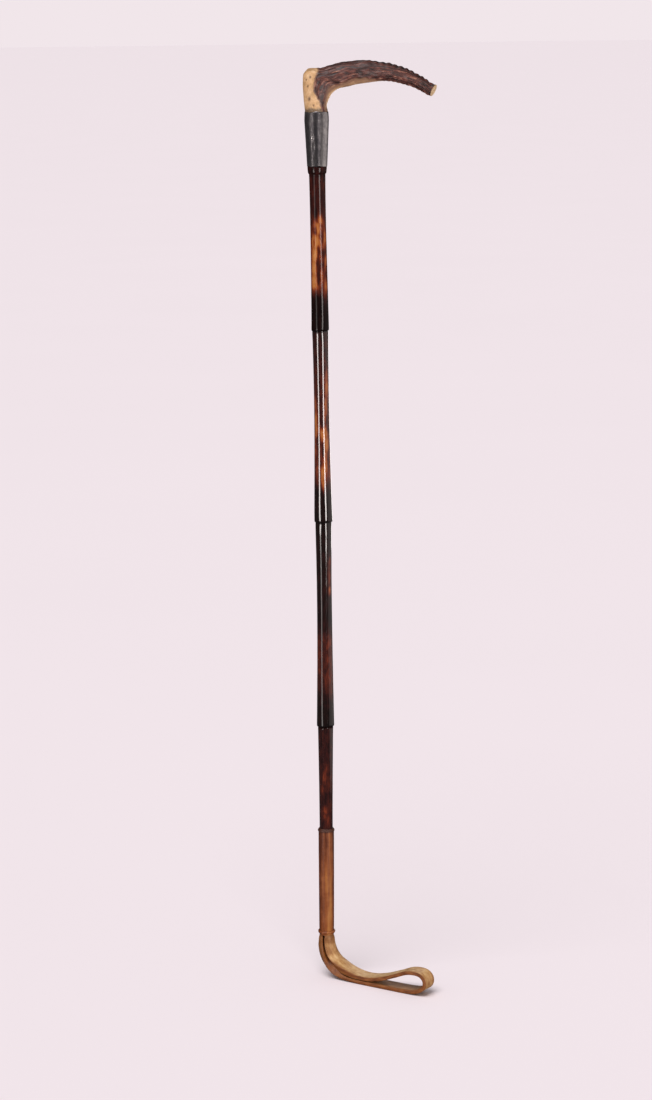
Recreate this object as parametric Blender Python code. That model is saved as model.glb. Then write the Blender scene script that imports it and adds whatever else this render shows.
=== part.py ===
"""Riding crop: an antler crook handle, a silver collar, a cane shaft, a leather grip tube and a keeper loop.

Metres, +Z up. The shaft's axis is Z, the crook points along +X, and the origin is on the axis at the
collar's mid height. The keeper loop bends in an upright plane that is turned BEND_TURN about Z.
"""
import math

import bmesh
import bpy
from mathutils import Matrix, Vector

MM = 0.001

# Clearance left between two touching pieces.
GAP = 0.3 * MM

# Collar: a thin sheet tube that swells a little under its mouth and tapers to the cane.
COLLAR_TOP_Z = 20.5 * MM
COLLAR_SWELL_Z = 14.0 * MM
COLLAR_BOTTOM_Z = -20.5 * MM
COLLAR_MOUTH_R = 8.95 * MM
COLLAR_SWELL_R = 9.3 * MM
COLLAR_BOTTOM_R = 7.65 * MM
COLLAR_WALL = 0.6 * MM

# Inside the collar: where the cane stops, the cement between, and where the antler's tenon starts.
CANE_TOP_Z = 5.0 * MM
TENON_BOTTOM_Z = 8.3 * MM
STUD_R = 2.0 * MM
STUD_BOTTOM_Z = -34.0 * MM
STUD_TOP_Z = 30.0 * MM
STUD_CHAMFER = 0.5 * MM

# Pin that locks the collar to the cane.
PIN_Z = 1.2 * MM
PIN_TURN = math.radians(-117.0)
PIN_R = 0.8 * MM
PIN_HEAD_R = 1.1 * MM
PIN_HEAD_RISE = 0.35 * MM
PIN_INNER_REACH = 4.4 * MM

# Cane: each internode starts narrow under its node, has a waist, and flares to a lip at the next node.
# Rows are (top z, bottom z, start radius, waist radius, place of the waist, end radius).
INTERNODES = (
    (-26.9 * MM, -146.0 * MM, 6.35 * MM, 6.02 * MM, 0.30, 6.78 * MM),
    (-147.0 * MM, -294.0 * MM, 6.22 * MM, 5.87 * MM, 0.38, 6.95 * MM),
    (-295.0 * MM, -454.3 * MM, 6.18 * MM, 5.78 * MM, 0.33, 6.68 * MM),
    (-455.3 * MM, -537.9 * MM, 5.83 * MM, 5.17 * MM, 0.95, 5.17 * MM),
)
FIRST_NODE_TOP_R = 7.5 * MM
FIRST_NODE_BOTTOM_R = 7.0 * MM
FIRST_NODE_BOTTOM_Z = -26.0 * MM
FIRST_NODE_EDGE = 0.1 * MM
FIRST_NODE_TAPER = 0.15 * MM
NODE_LIP = 0.9 * MM
NODE_LIP_ROUND = 0.1 * MM
NODE_LIP_DROP = 0.3 * MM
CANE_IN_COLLAR_Z = -8.0 * MM
CANE_PEG_R = 3.2 * MM
CANE_PEG_TOP_Z = -543.0 * MM
CANE_SHOULDER_Z = -538.3 * MM
CANE_SHOULDER_R = 4.55 * MM
CANE_END_Z = -611.0 * MM
CANE_END_CHAMFER = 0.6 * MM
CANE_BOW = 1.4 * MM
BOW_TOP_Z = -28.0 * MM

# Leather grip tube over the cane's thinned end, with a ring at each end.
SLEEVE_TOP_Z = -538.7 * MM
SLEEVE_BOTTOM_Z = -621.7 * MM
SLEEVE_TOP_R = 5.95 * MM
SLEEVE_BOTTOM_R = 5.85 * MM
SLEEVE_INNER_R = 5.0 * MM
TOP_RING_Z = -537.2 * MM
LOWER_RING_Z = -618.1 * MM
RING_HALF_HEIGHT = 1.15 * MM
RING_BULGE = 0.4 * MM
TOP_RING_R = 6.65 * MM
TOP_RING_INNER_R = 5.5 * MM
LOWER_RING_R = 6.8 * MM
LOWER_RING_INNER_R = 6.15 * MM
SEAM_STITCH = 2.4 * MM
SEAM_HALF_WIDTH = 0.9 * MM
SEAM_THREAD_R = 0.22 * MM
SEAM_END_MARGIN = 5.0 * MM

# Keeper strap: its two tails lie round the cane's peg, bound with thread, and its loop hangs below.
STRAP_WIDTH = 13.3 * MM
STRAP_THICK = 2.7 * MM
LEG_OFFSET = 1.5 * MM
TAIL_TOP_Z = -544.5 * MM
TAIL_INNER_R = 3.5 * MM
TAIL_OUTER_R = 4.7 * MM
TAIL_SKIVED_R = 4.05 * MM
TAIL_SKIVE_END_Z = -560.0 * MM
TAIL_FULL_Z = -564.0 * MM
TAIL_MIDDLE_Z = -590.0 * MM
TAIL_HALF_ANGLE = math.radians(72.0)
TAIL_FLAT_HALF_WIDTH = 3.4 * MM
WHIPPING_TOP_Z = -547.0 * MM
WHIPPING_TURNS = 8
WHIPPING_PITCH = 1.3 * MM
WHIPPING_INNER_R = 4.35 * MM
WHIPPING_OUTER_R = 4.7 * MM
WHIPPING_RIDGE = 0.12 * MM
BEND_TURN = math.radians(-33.0)
HINGE_Z = -629.7 * MM
LEG_STRAIGHT = 2.0 * MM
# Where the tails turn from round shells into the flat, full-width strap, and where they end.
TAIL_ROUND_END_Z = SLEEVE_BOTTOM_Z + 7.0 * MM
TAIL_FLAT_Z = SLEEVE_BOTTOM_Z + 1.0 * MM
TAIL_WIDE_Z = HINGE_Z + 3.5 * MM
TAIL_LAST_LEVEL_Z = HINGE_Z + 4.5 * MM
TAIL_SEAT_Z = HINGE_Z + 2.0 * MM
SEAT_R = STRAP_THICK / 2 + LEG_OFFSET + GAP + 0.55 * MM
LOOP_FLOOR_Z = -653.4 * MM

# Keeper loop's middle line: (distance from the shaft's axis, height over the loop's underside).
# It runs down the outer leg, along the underside, round the eye and back up the inner leg.
KEEPER_ROUTE = [
    (u * MM, h * MM)
    for u, h in (
        (-0.6, 18.0), (4.6, 9.4), (13.0, 3.9), (24.0, 1.7), (36.0, 1.35), (48.0, 1.35), (60.0, 1.35),
        (73.0, 1.35), (84.0, 2.8), (91.0, 7.0), (92.0, 12.8), (87.0, 16.9), (77.0, 16.7), (65.0, 12.1),
        (53.0, 7.5), (41.0, 5.0), (29.0, 5.1), (18.0, 7.6), (9.2, 12.6), (3.4, 19.0),
    )
]

# Antler: matching points on its inner and outer outlines, each (x, z), from the heel over the
# collar to the sawn tip. A section is an ellipse between the two points of a pair.
ANTLER_PAIRS = [
    (Vector((ix, iz)) * MM, Vector((ox, oz)) * MM)
    for (ix, iz), (ox, oz) in (
        ((8.0, 25.7), (-9.3, 26.6)),
        ((10.0, 30.9), (-10.0, 35.7)),
        ((11.9, 34.3), (-10.1, 43.3)),
        ((15.0, 36.9), (-9.1, 50.0)),
        ((18.0, 38.4), (-5.3, 53.4)),
        ((21.8, 39.1), (3.1, 53.4)),
        ((25.6, 39.8), (10.6, 55.4)),
        ((30.9, 41.1), (19.0, 57.8)),
        ((37.0, 41.9), (28.8, 58.6)),
        ((42.3, 42.6), (37.9, 59.1)),
        ((49.1, 43.3), (47.7, 57.8)),
        ((55.2, 43.1), (55.3, 56.6)),
        ((59.7, 42.4), (61.7, 54.9)),
        ((65.0, 41.0), (68.1, 52.7)),
        ((71.8, 39.0), (75.3, 49.0)),
        ((78.6, 35.8), (82.4, 44.9)),
        ((83.9, 32.7), (87.3, 41.2)),
        ((86.5, 31.5), (90.7, 40.1)),
    )
]
TENON_R = 7.85 * MM
SHOULDER_Z = 20.9 * MM
SHOULDER_R = 8.7 * MM
HEEL_DEPTH_R = 8.7 * MM
MOST_DEPTH_R = 9.7 * MM
ARM_START = 7

SIDES = 24


def clear_scene():
    for obj in list(bpy.data.objects):
        bpy.data.objects.remove(obj, do_unlink=True)


def material(name, colour, roughness, metallic=0.0):
    made = bpy.data.materials.new(name)
    made.use_nodes = True
    shader = made.node_tree.nodes["Principled BSDF"]
    shader.inputs["Base Color"].default_value = (*colour, 1.0)
    shader.inputs["Roughness"].default_value = roughness
    shader.inputs["Metallic"].default_value = metallic
    return made


def smooth(start, end, value):
    """0 before start, 1 after end, and an even S between."""
    t = min(max((value - start) / (end - start), 0.0), 1.0)
    return t * t * (3 - 2 * t)


def ring(radius, z, sides=SIDES):
    steps = [math.tau * k / sides for k in range(sides)]
    return [Vector((radius * math.cos(a), radius * math.sin(a), z)) for a in steps]


def loft(sections, closed=False):
    """Joins rings of equally many points. An open loft gets a flat face on each end."""
    bm = bmesh.new()
    rows = [[bm.verts.new(point) for point in section] for section in sections]
    pairs = list(zip(rows, rows[1:]))
    if closed:
        pairs.append((rows[-1], rows[0]))
    for low, high in pairs:
        for k in range(len(low)):
            nxt = (k + 1) % len(low)
            bm.faces.new((low[k], low[nxt], high[nxt], high[k]))
    if not closed:
        bm.faces.new(rows[0])
        bm.faces.new(rows[-1])
    return bm


def add_object(name, bm, surface, parent=None):
    bmesh.ops.recalc_face_normals(bm, faces=bm.faces)
    mesh = bpy.data.meshes.new(name)
    bm.to_mesh(mesh)
    bm.free()
    mesh.materials.append(surface)
    mesh.shade_smooth()
    mesh.set_sharp_from_angle(angle=math.radians(38))
    obj = bpy.data.objects.new(name, mesh)
    bpy.context.scene.collection.objects.link(obj)
    obj.parent = parent
    return obj


def add_cutter(name, radius, start, end, sides=SIDES):
    """A hidden cylinder from start to end, for a Boolean to take away."""
    along = end - start
    turn = along.to_track_quat("Z", "Y").to_matrix().to_4x4()
    bm = loft([ring(radius, 0.0, sides), ring(radius, along.length, sides)])
    bm.transform(Matrix.Translation(start) @ turn)
    cutter = add_object(name, bm, STEEL)
    cutter.hide_render = True
    cutter.display_type = "WIRE"
    return cutter


def cut(obj, cutter):
    modifier = obj.modifiers.new(cutter.name, "BOOLEAN")
    modifier.operation = "DIFFERENCE"
    modifier.solver = "EXACT"
    modifier.object = cutter


def bow(z):
    """Sideways offset of the cane's natural bow at height z."""
    t = min(max((BOW_TOP_Z - z) / (BOW_TOP_Z - SLEEVE_BOTTOM_Z), 0.0), 1.0)
    return CANE_BOW * math.sin(math.pi * t)


def follow_bow(bm):
    for vert in bm.verts:
        vert.co.x += bow(vert.co.z)
    return bm


def curve_through(points, steps):
    """A Catmull-Rom curve through 2-D points, with the given steps between two of them."""
    ends = [2 * points[0] - points[1], *points, 2 * points[-1] - points[-2]]
    found = []
    for a, b, c, d in zip(ends, ends[1:], ends[2:], ends[3:]):
        for k in range(steps):
            t = k / steps
            bend = (2 * a - 5 * b + 4 * c - d) * t * t + (-a + 3 * b - 3 * c + d) * t ** 3
            found.append(0.5 * (2 * b + (c - a) * t + bend))
    return [*found, points[-1]]


# ---- handle ----

def collar_radius(z):
    if z > COLLAR_SWELL_Z:
        t = (z - COLLAR_SWELL_Z) / (COLLAR_TOP_Z - COLLAR_SWELL_Z)
        return COLLAR_SWELL_R + (COLLAR_MOUTH_R - COLLAR_SWELL_R) * t * t
    t = (COLLAR_SWELL_Z - z) / (COLLAR_SWELL_Z - COLLAR_BOTTOM_Z)
    return COLLAR_SWELL_R + (COLLAR_BOTTOM_R - COLLAR_SWELL_R) * t


def collar_heights():
    steps = 8
    return [COLLAR_TOP_Z + (COLLAR_BOTTOM_Z - COLLAR_TOP_Z) * k / steps for k in range(steps + 1)]


def collar_inner(z):
    return collar_radius(z) - COLLAR_WALL


def tenon_radius(z):
    return min(TENON_R, collar_inner(z) - GAP)


def antler_section(inner, outer, depth, sides):
    """An ellipse across the antler, from its inner outline point to its outer one."""
    middle = (inner + outer) / 2
    half = (outer - inner) / 2
    points = []
    for k in range(sides):
        a = math.tau * k / sides
        along = middle - half * math.cos(a)
        points.append(Vector((along.x, depth * math.sin(a), along.y)))
    return points


def antler_sections(sides=20):
    sections = []
    for z in (TENON_BOTTOM_Z, (TENON_BOTTOM_Z + SHOULDER_Z) / 2, SHOULDER_Z):
        r = tenon_radius(min(z, COLLAR_TOP_Z))
        sections.append(antler_section(Vector((r, z)), Vector((-r, z)), r, sides))
    shoulder = (Vector((SHOULDER_R, SHOULDER_Z)), Vector((-SHOULDER_R, SHOULDER_Z)))
    sections.append(antler_section(*shoulder, SHOULDER_R, sides))
    for place, (inner, outer) in enumerate(ANTLER_PAIRS):
        half = (outer - inner).length / 2
        depth = HEEL_DEPTH_R + (half - HEEL_DEPTH_R) * smooth(0, ARM_START, place)
        sections.append(antler_section(inner, outer, min(depth, MOST_DEPTH_R), sides))
    return sections


def build_handle():
    handle = add_object("antler_handle", loft(antler_sections()), ANTLER)
    stud_hole = add_cutter(
        "stud_hole_antler",
        STUD_R + GAP,
        Vector((0, 0, TENON_BOTTOM_Z - MM)),
        Vector((0, 0, STUD_TOP_Z + MM)),
        16,
    )
    cut(handle, stud_hole)
    stud = [
        ring(STUD_R - STUD_CHAMFER, STUD_BOTTOM_Z, 16),
        ring(STUD_R, STUD_BOTTOM_Z + STUD_CHAMFER, 16),
        ring(STUD_R, STUD_TOP_Z - STUD_CHAMFER, 16),
        ring(STUD_R - STUD_CHAMFER, STUD_TOP_Z, 16),
    ]
    add_object("handle_stud", loft(stud), STEEL)


def pin_direction():
    return Vector((math.cos(PIN_TURN), math.sin(PIN_TURN), 0))


def build_collar():
    outside = [ring(collar_radius(z), z) for z in collar_heights()]
    inside = [ring(collar_inner(z), z) for z in reversed(collar_heights())]
    collar = add_object("collar_tube", loft(outside + inside, closed=True), SILVER)
    low = CANE_TOP_Z + GAP
    high = TENON_BOTTOM_Z - GAP
    fill_r = collar_inner(high) - GAP
    hole_r = STUD_R + GAP
    fill = [ring(fill_r, high), ring(collar_inner(low) - GAP, low), ring(hole_r, low), ring(hole_r, high)]
    add_object("collar_cement", loft(fill, closed=True), CEMENT)

    out = pin_direction()
    centre = Vector((0, 0, PIN_Z))
    surface = collar_radius(PIN_Z)
    pin_hole = add_cutter(
        "pin_hole",
        PIN_R + GAP,
        centre + out * (PIN_INNER_REACH - GAP),
        centre + out * (surface + 2 * MM),
        16,
    )
    cut(collar, pin_hole)
    head_base = surface + GAP
    shape = (
        (PIN_R, PIN_INNER_REACH),
        (PIN_R, head_base),
        (PIN_HEAD_R, head_base),
        (PIN_HEAD_R, head_base + 0.3 * PIN_HEAD_RISE),
        (PIN_HEAD_R * 0.7, head_base + 0.8 * PIN_HEAD_RISE),
        (PIN_HEAD_R * 0.25, head_base + PIN_HEAD_RISE),
    )
    bm = loft([ring(r, reach, 16) for r, reach in shape])
    bm.transform(Matrix.Translation(centre) @ out.to_track_quat("Z", "Y").to_matrix().to_4x4())
    add_object("collar_pin", bm, SILVER)
    return pin_hole


# ---- cane ----

def internode_radius(row, z):
    top, bottom, start, waist, place, end = row
    t = (top - z) / (top - bottom)
    if t < place:
        return waist + (start - waist) * (1 - t / place) ** 2
    return waist + (end - waist) * ((t - place) / (1 - place)) ** 1.7


def internode_profile(row, steps=8):
    """Radius and height down one internode, with its lip turned in at the bottom."""
    top, bottom = row[0], row[1]
    lip_z = bottom + NODE_LIP
    heights = [top + (lip_z - top) * k / steps for k in range(steps + 1)]
    profile = [(internode_radius(row, z), z) for z in heights]
    if row is not INTERNODES[-1]:
        profile.append((profile[-1][0] - NODE_LIP_ROUND, bottom + 0.35 * NODE_LIP))
        profile.append((profile[-1][0] - NODE_LIP_DROP, bottom))
    return profile


def cane_profile():
    inside_collar = [CANE_TOP_Z, CANE_IN_COLLAR_Z, COLLAR_BOTTOM_Z]
    profile = [(collar_inner(z) - GAP, z) for z in inside_collar]
    ring_top = COLLAR_BOTTOM_Z - GAP
    profile.append((profile[-1][0], ring_top))
    profile.append((FIRST_NODE_TOP_R, ring_top - FIRST_NODE_EDGE))
    profile.append((FIRST_NODE_TOP_R - FIRST_NODE_TAPER, (ring_top + FIRST_NODE_BOTTOM_Z) / 2))
    profile.append((FIRST_NODE_BOTTOM_R, FIRST_NODE_BOTTOM_Z))
    for row in INTERNODES:
        profile += internode_profile(row)
    profile.append((CANE_SHOULDER_R, CANE_SHOULDER_Z))
    profile.append((CANE_PEG_R, CANE_PEG_TOP_Z))
    profile.append((CANE_PEG_R, CANE_END_Z + CANE_END_CHAMFER))
    profile.append((CANE_PEG_R - CANE_END_CHAMFER, CANE_END_Z))
    return profile


def build_cane(pin_hole):
    bm = follow_bow(loft([ring(r, z) for r, z in cane_profile()]))
    cane = add_object("cane_shaft", bm, CANE)
    stud_hole = add_cutter(
        "stud_hole_cane",
        STUD_R + GAP,
        Vector((0, 0, STUD_BOTTOM_Z - MM)),
        Vector((0, 0, CANE_TOP_Z + MM)),
        16,
    )
    cut(cane, stud_hole)
    cut(cane, pin_hole)


# ---- leather grip tube ----

def sleeve_radius(z):
    t = (SLEEVE_TOP_Z - z) / (SLEEVE_TOP_Z - SLEEVE_BOTTOM_Z)
    return SLEEVE_TOP_R + (SLEEVE_BOTTOM_R - SLEEVE_TOP_R) * t


def build_sleeve():
    steps = 8
    heights = [SLEEVE_TOP_Z + (SLEEVE_BOTTOM_Z - SLEEVE_TOP_Z) * k / steps for k in range(steps + 1)]
    outside = [ring(sleeve_radius(z), z) for z in heights]
    inside = [ring(SLEEVE_INNER_R, z) for z in reversed(heights)]
    add_object("leather_sleeve", follow_bow(loft(outside + inside, closed=True)), SLEEVE_LEATHER)


def ring_band(name, z, inner_r, outer_r, surface):
    """A raised ring with a rounded outside."""
    half = RING_HALF_HEIGHT
    profile = [(inner_r, z - half), (inner_r, z + half)]
    arc_steps = 5
    for k in range(arc_steps + 1):
        a = math.pi / 2 - math.pi * k / arc_steps
        profile.append((outer_r - RING_BULGE * (1 - math.cos(a)), z + half * math.sin(a)))
    bm = loft([ring(r, height) for r, height in profile], closed=True)
    add_object(name, follow_bow(bm), surface)


def tube_along(points, radius, sides):
    """A closed round tube that follows the points."""
    sections = []
    for k, point in enumerate(points):
        ahead = points[min(k + 1, len(points) - 1)]
        behind = points[max(k - 1, 0)]
        frame = (ahead - behind).to_track_quat("Z", "Y").to_matrix()
        sections.append([frame @ spot + point for spot in ring(radius, 0.0, sides)])
    return loft(sections)


def build_seam_thread():
    """The lacing stitch that draws the sleeve's butted edges together at the back."""
    first = TOP_RING_Z - SEAM_END_MARGIN
    count = int((first - LOWER_RING_Z - SEAM_END_MARGIN) / (SEAM_STITCH / 2))
    points = []
    for k in range(count + 1):
        z = first - k * SEAM_STITCH / 2
        side = SEAM_HALF_WIDTH if k % 2 else -SEAM_HALF_WIDTH
        reach = sleeve_radius(z) + SEAM_THREAD_R + GAP
        points.append(Vector((side, math.sqrt(reach ** 2 - side ** 2), z)))
    add_object("sleeve_seam_thread", follow_bow(tube_along(points, SEAM_THREAD_R, 6)), THREAD)


# ---- keeper ----

def tail_outer_radius(z):
    share = smooth(TAIL_SKIVE_END_Z, TAIL_FULL_Z, z)
    return TAIL_SKIVED_R + (TAIL_OUTER_R - TAIL_SKIVED_R) * share


def tail_section(z, columns=6):
    """Cross-section of the tail on the +X side of the bend plane: a curved shell that flattens."""
    flat = smooth(TAIL_ROUND_END_Z, TAIL_FLAT_Z, z)
    wide = smooth(SLEEVE_BOTTOM_Z, TAIL_WIDE_Z, z)
    half_width = TAIL_FLAT_HALF_WIDTH + (STRAP_WIDTH / 2 - TAIL_FLAT_HALF_WIDTH) * wide
    faces = (
        (tail_outer_radius(z), LEG_OFFSET + STRAP_THICK / 2, 1),
        (TAIL_INNER_R, LEG_OFFSET - STRAP_THICK / 2, -1),
    )
    points = []
    for radius, flat_x, way in faces:
        for k in range(columns + 1):
            side = way * (2 * k / columns - 1)
            a = side * TAIL_HALF_ANGLE
            curved = Vector((radius * math.cos(a), radius * math.sin(a), z))
            straight = Vector((flat_x, side * half_width, z))
            points.append(curved.lerp(straight, flat))
    return points


def seated(point):
    """Moves an end point of a tail up onto the round seat over the loop's knuckle."""
    rise = math.sqrt(SEAT_R ** 2 - point.x ** 2)
    return Vector((point.x, point.y, HINGE_Z + rise))


def build_tail(name, turn):
    steps = 6
    heights = [TAIL_TOP_Z, TAIL_SKIVE_END_Z, TAIL_FULL_Z, TAIL_MIDDLE_Z]
    drop = TAIL_LAST_LEVEL_Z - TAIL_ROUND_END_Z
    heights += [TAIL_ROUND_END_Z + drop * k / steps for k in range(steps + 1)]
    sections = [tail_section(z) for z in heights]
    sections.append([seated(point) for point in tail_section(TAIL_SEAT_Z)])
    bm = loft(sections)
    bm.transform(Matrix.Rotation(BEND_TURN + turn, 4, "Z"))
    add_object(name, follow_bow(bm), KEEPER_LEATHER)


def build_whipping():
    """Thread wound over the skived tails, each turn a low rounded ridge."""
    outside = []
    for k in range(WHIPPING_TURNS):
        top = WHIPPING_TOP_Z - k * WHIPPING_PITCH
        outside.append((WHIPPING_OUTER_R - WHIPPING_RIDGE, top))
        outside.append((WHIPPING_OUTER_R, top - WHIPPING_PITCH / 2))
    bottom = WHIPPING_TOP_Z - WHIPPING_TURNS * WHIPPING_PITCH
    outside.append((WHIPPING_OUTER_R - WHIPPING_RIDGE, bottom))
    profile = outside + [(WHIPPING_INNER_R, bottom), (WHIPPING_INNER_R, WHIPPING_TOP_Z)]
    bm = loft([ring(r, z, 18) for r, z in profile], closed=True)
    add_object("tail_whipping", follow_bow(bm), THREAD)


def keeper_outline():
    """Pairs of (outer, inner) points round the loop, as (distance, height) from the hinge's axis."""
    drop = LOOP_FLOOR_Z - HINGE_Z
    route = [Vector((-LEG_OFFSET, 0.0)), Vector((-LEG_OFFSET, -LEG_STRAIGHT))]
    route += [Vector((u, h + drop)) for u, h in KEEPER_ROUTE]
    route += [Vector((LEG_OFFSET, -LEG_STRAIGHT)), Vector((LEG_OFFSET, 0.0))]
    line = curve_through(route, 5)
    pairs = []
    for k in range(1, len(line) - 1):
        tangent = (line[k + 1] - line[k - 1]).normalized()
        normal = Vector((tangent.y, -tangent.x))
        pairs.append((line[k] + normal * STRAP_THICK / 2, line[k] - normal * STRAP_THICK / 2))
    outer_r = LEG_OFFSET + STRAP_THICK / 2
    inner_r = LEG_OFFSET - STRAP_THICK / 2
    knuckle_steps = 12
    for k in range(knuckle_steps + 1):
        a = math.pi * k / knuckle_steps
        direction = Vector((math.cos(a), math.sin(a)))
        pairs.append((direction * outer_r, direction * inner_r))
    return pairs


def build_keeper_loop():
    """The loop is one strap bent double. Its parent empty stands on the hinge, local Y along the axis."""
    hinge = bpy.data.objects.new("keeper_hinge", None)
    hinge.location = (0, 0, HINGE_Z)
    hinge.rotation_euler = (0, 0, BEND_TURN)
    bpy.context.scene.collection.objects.link(hinge)
    half = STRAP_WIDTH / 2
    sections = []
    for outer, inner in keeper_outline():
        sections.append([
            Vector((outer.x, -half, outer.y)),
            Vector((outer.x, half, outer.y)),
            Vector((inner.x, half, inner.y)),
            Vector((inner.x, -half, inner.y)),
        ])
    add_object("keeper_loop", loft(sections, closed=True), KEEPER_LEATHER, hinge)


clear_scene()
ANTLER = material("stag_antler", (0.17, 0.075, 0.05), 0.45)
STEEL = material("plain_steel", (0.45, 0.45, 0.47), 0.35, 1.0)
SILVER = material("oxidised_silver", (0.20, 0.19, 0.19), 0.38, 1.0)
CEMENT = material("cutlers_pitch", (0.03, 0.02, 0.015), 0.5)
CANE = material("flamed_cane", (0.09, 0.025, 0.012), 0.12)
SLEEVE_LEATHER = material("calf_leather", (0.32, 0.14, 0.045), 0.45)
KEEPER_LEATHER = material("bridle_leather", (0.28, 0.15, 0.06), 0.5)
THREAD = material("linen_thread", (0.30, 0.20, 0.11), 0.8)
DARK_THREAD = material("waxed_thread", (0.03, 0.017, 0.01), 0.5)

build_handle()
collar_pin_hole = build_collar()
build_cane(collar_pin_hole)
build_sleeve()
ring_band("top_ring", TOP_RING_Z, TOP_RING_INNER_R, TOP_RING_R, DARK_THREAD)
ring_band("lower_ring", LOWER_RING_Z, LOWER_RING_INNER_R, LOWER_RING_R, SLEEVE_LEATHER)
build_seam_thread()
build_tail("keeper_tail_inner", 0.0)
build_tail("keeper_tail_outer", math.pi)
build_whipping()
build_keeper_loop()
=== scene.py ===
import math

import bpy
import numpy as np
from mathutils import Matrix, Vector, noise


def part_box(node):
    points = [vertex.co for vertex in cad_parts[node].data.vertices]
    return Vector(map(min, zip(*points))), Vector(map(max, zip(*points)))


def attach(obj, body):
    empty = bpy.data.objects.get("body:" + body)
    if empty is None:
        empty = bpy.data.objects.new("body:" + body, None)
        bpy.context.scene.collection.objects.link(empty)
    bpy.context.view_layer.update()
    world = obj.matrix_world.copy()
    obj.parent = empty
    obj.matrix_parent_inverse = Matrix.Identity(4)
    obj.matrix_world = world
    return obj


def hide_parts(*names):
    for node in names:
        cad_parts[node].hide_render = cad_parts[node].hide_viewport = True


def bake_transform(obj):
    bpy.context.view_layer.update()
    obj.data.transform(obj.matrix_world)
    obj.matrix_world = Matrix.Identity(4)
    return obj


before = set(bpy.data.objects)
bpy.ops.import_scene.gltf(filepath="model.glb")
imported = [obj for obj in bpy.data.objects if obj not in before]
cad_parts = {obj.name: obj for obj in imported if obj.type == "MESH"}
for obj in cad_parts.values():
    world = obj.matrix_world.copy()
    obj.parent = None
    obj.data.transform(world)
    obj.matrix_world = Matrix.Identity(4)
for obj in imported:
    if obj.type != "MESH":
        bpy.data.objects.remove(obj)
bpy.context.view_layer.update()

# Riding crop: a stag antler crook, an oxidised silver collar, a varnished cane with stepped nodes,
# a calf grip tube between two rings, and a bridle leather keeper folded into an eye.
# Metres, +Z up. The shaft's axis is Z and the crook points along +X. A turn round the shaft is in
# degrees from its front, which faces -Y, and grows towards +X.

bl_info = {
    "name": "Riding crop",
    "version": (1, 0, 0),
    "blender": (4, 5, 0),
    "location": "3D View > Sidebar > Crop",
    "description": "Builds the visible pieces of a riding crop around its CAD frame",
    "category": "Add Mesh",
}

MM = 0.001
CROP, KEEPER = "crop", "keeper"
# A Mix node of colours: its share is input 0, its colours are inputs 6 and 7, its result is output 2.
COLOUR_MIX = {"data_type": "RGBA", "out": 2}


# ---- colour, nodes and meshes ----

def linear(hex_code):
    """An sRGB hex colour as linear red, green, blue and alpha."""
    parts = [int(hex_code[k:k + 2], 16) / 255 for k in (1, 3, 5)]
    return (*[c / 12.92 if c <= 0.04045 else ((c + 0.055) / 1.055) ** 2.4 for c in parts], 1.0)


def per(size_mm):
    """The texture scale that gives grains of this size in millimetres."""
    return 1 / (size_mm * MM)


def add(tree, kind, inputs=None, ramp=None, out=0, **settings):
    """Adds one shader node with its settings and returns its output. Each input takes a value or the
    socket that feeds it, and each stop of a ramp is its place and a hex or linear colour."""
    node = tree.nodes.new("ShaderNode" + kind)
    for name, value in settings.items():
        setattr(node, name, value)
    for name, value in (inputs or {}).items():
        if isinstance(value, bpy.types.NodeSocket):
            tree.links.new(value, node.inputs[name])
        else:
            node.inputs[name].default_value = value
    if ramp:
        stops = node.color_ramp.elements
        stops.remove(stops[1])
        stops[0].position = ramp[0][0]
        for number, (place, colour) in enumerate(ramp):
            stop = stops.new(place) if number else stops[0]
            stop.color = linear(colour) if isinstance(colour, str) else colour
    return node.outputs[out] if node.outputs else node


def new_material(name, shader_inputs):
    """A material with a Principled shader set to these values, and its node tree."""
    made = bpy.data.materials.new(name)
    made.use_nodes = True
    for socket, value in shader_inputs.items():
        made.node_tree.nodes["Principled BSDF"].inputs[socket].default_value = value
    return made, made.node_tree


def finished(made, fed):
    """The material, once the sockets in fed are linked to its shader's inputs."""
    tree = made.node_tree
    for name, socket in fed.items():
        tree.links.new(socket, tree.nodes["Principled BSDF"].inputs[name])
    return made


def swayed(tree, level, *sways):
    """A level moved by noises, and then kept in 0 to 1. Each sway is a noise, the low and high values
    of it that count, and what those add to the level."""
    for number, (source, low, high, less, more) in enumerate(sways, 1):
        sway = add(tree, "MapRange", {"Value": source, 1: low, 2: high, 3: less, 4: more})
        level = add(tree, "Math", {0: level, 1: sway}, operation="ADD", use_clamp=number == len(sways))
    return level


def plain_material(name, shader_inputs, grain_mm, detail, ramp, bump_mm=0.0):
    """A material coloured by one noise, with grains of this size, that may also raise a bump."""
    made, tree = new_material(name, shader_inputs)
    place = add(tree, "TexCoord", out="Object")
    grains = add(tree, "TexNoise", {"Vector": place, "Scale": per(grain_mm), "Detail": detail})
    fed = {"Base Color": add(tree, "ValToRGB", {"Fac": grains}, ramp=ramp)}
    if bump_mm:
        fed["Normal"] = add(tree, "Bump", {"Strength": 0.4, "Distance": bump_mm * MM, "Height": grains})
    return finished(made, fed)


def smooth(start, end, value):
    """0 before start, 1 after end and an even S between, for a number or an array."""
    t = np.clip((np.asarray(value, float) - start) / (end - start), 0, 1)
    return t * t * (3 - 2 * t)


def bell(value, width):
    """1 where value is 0, and close to 0 from twice the width on."""
    return np.exp(-((value / width) ** 2))


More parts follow.
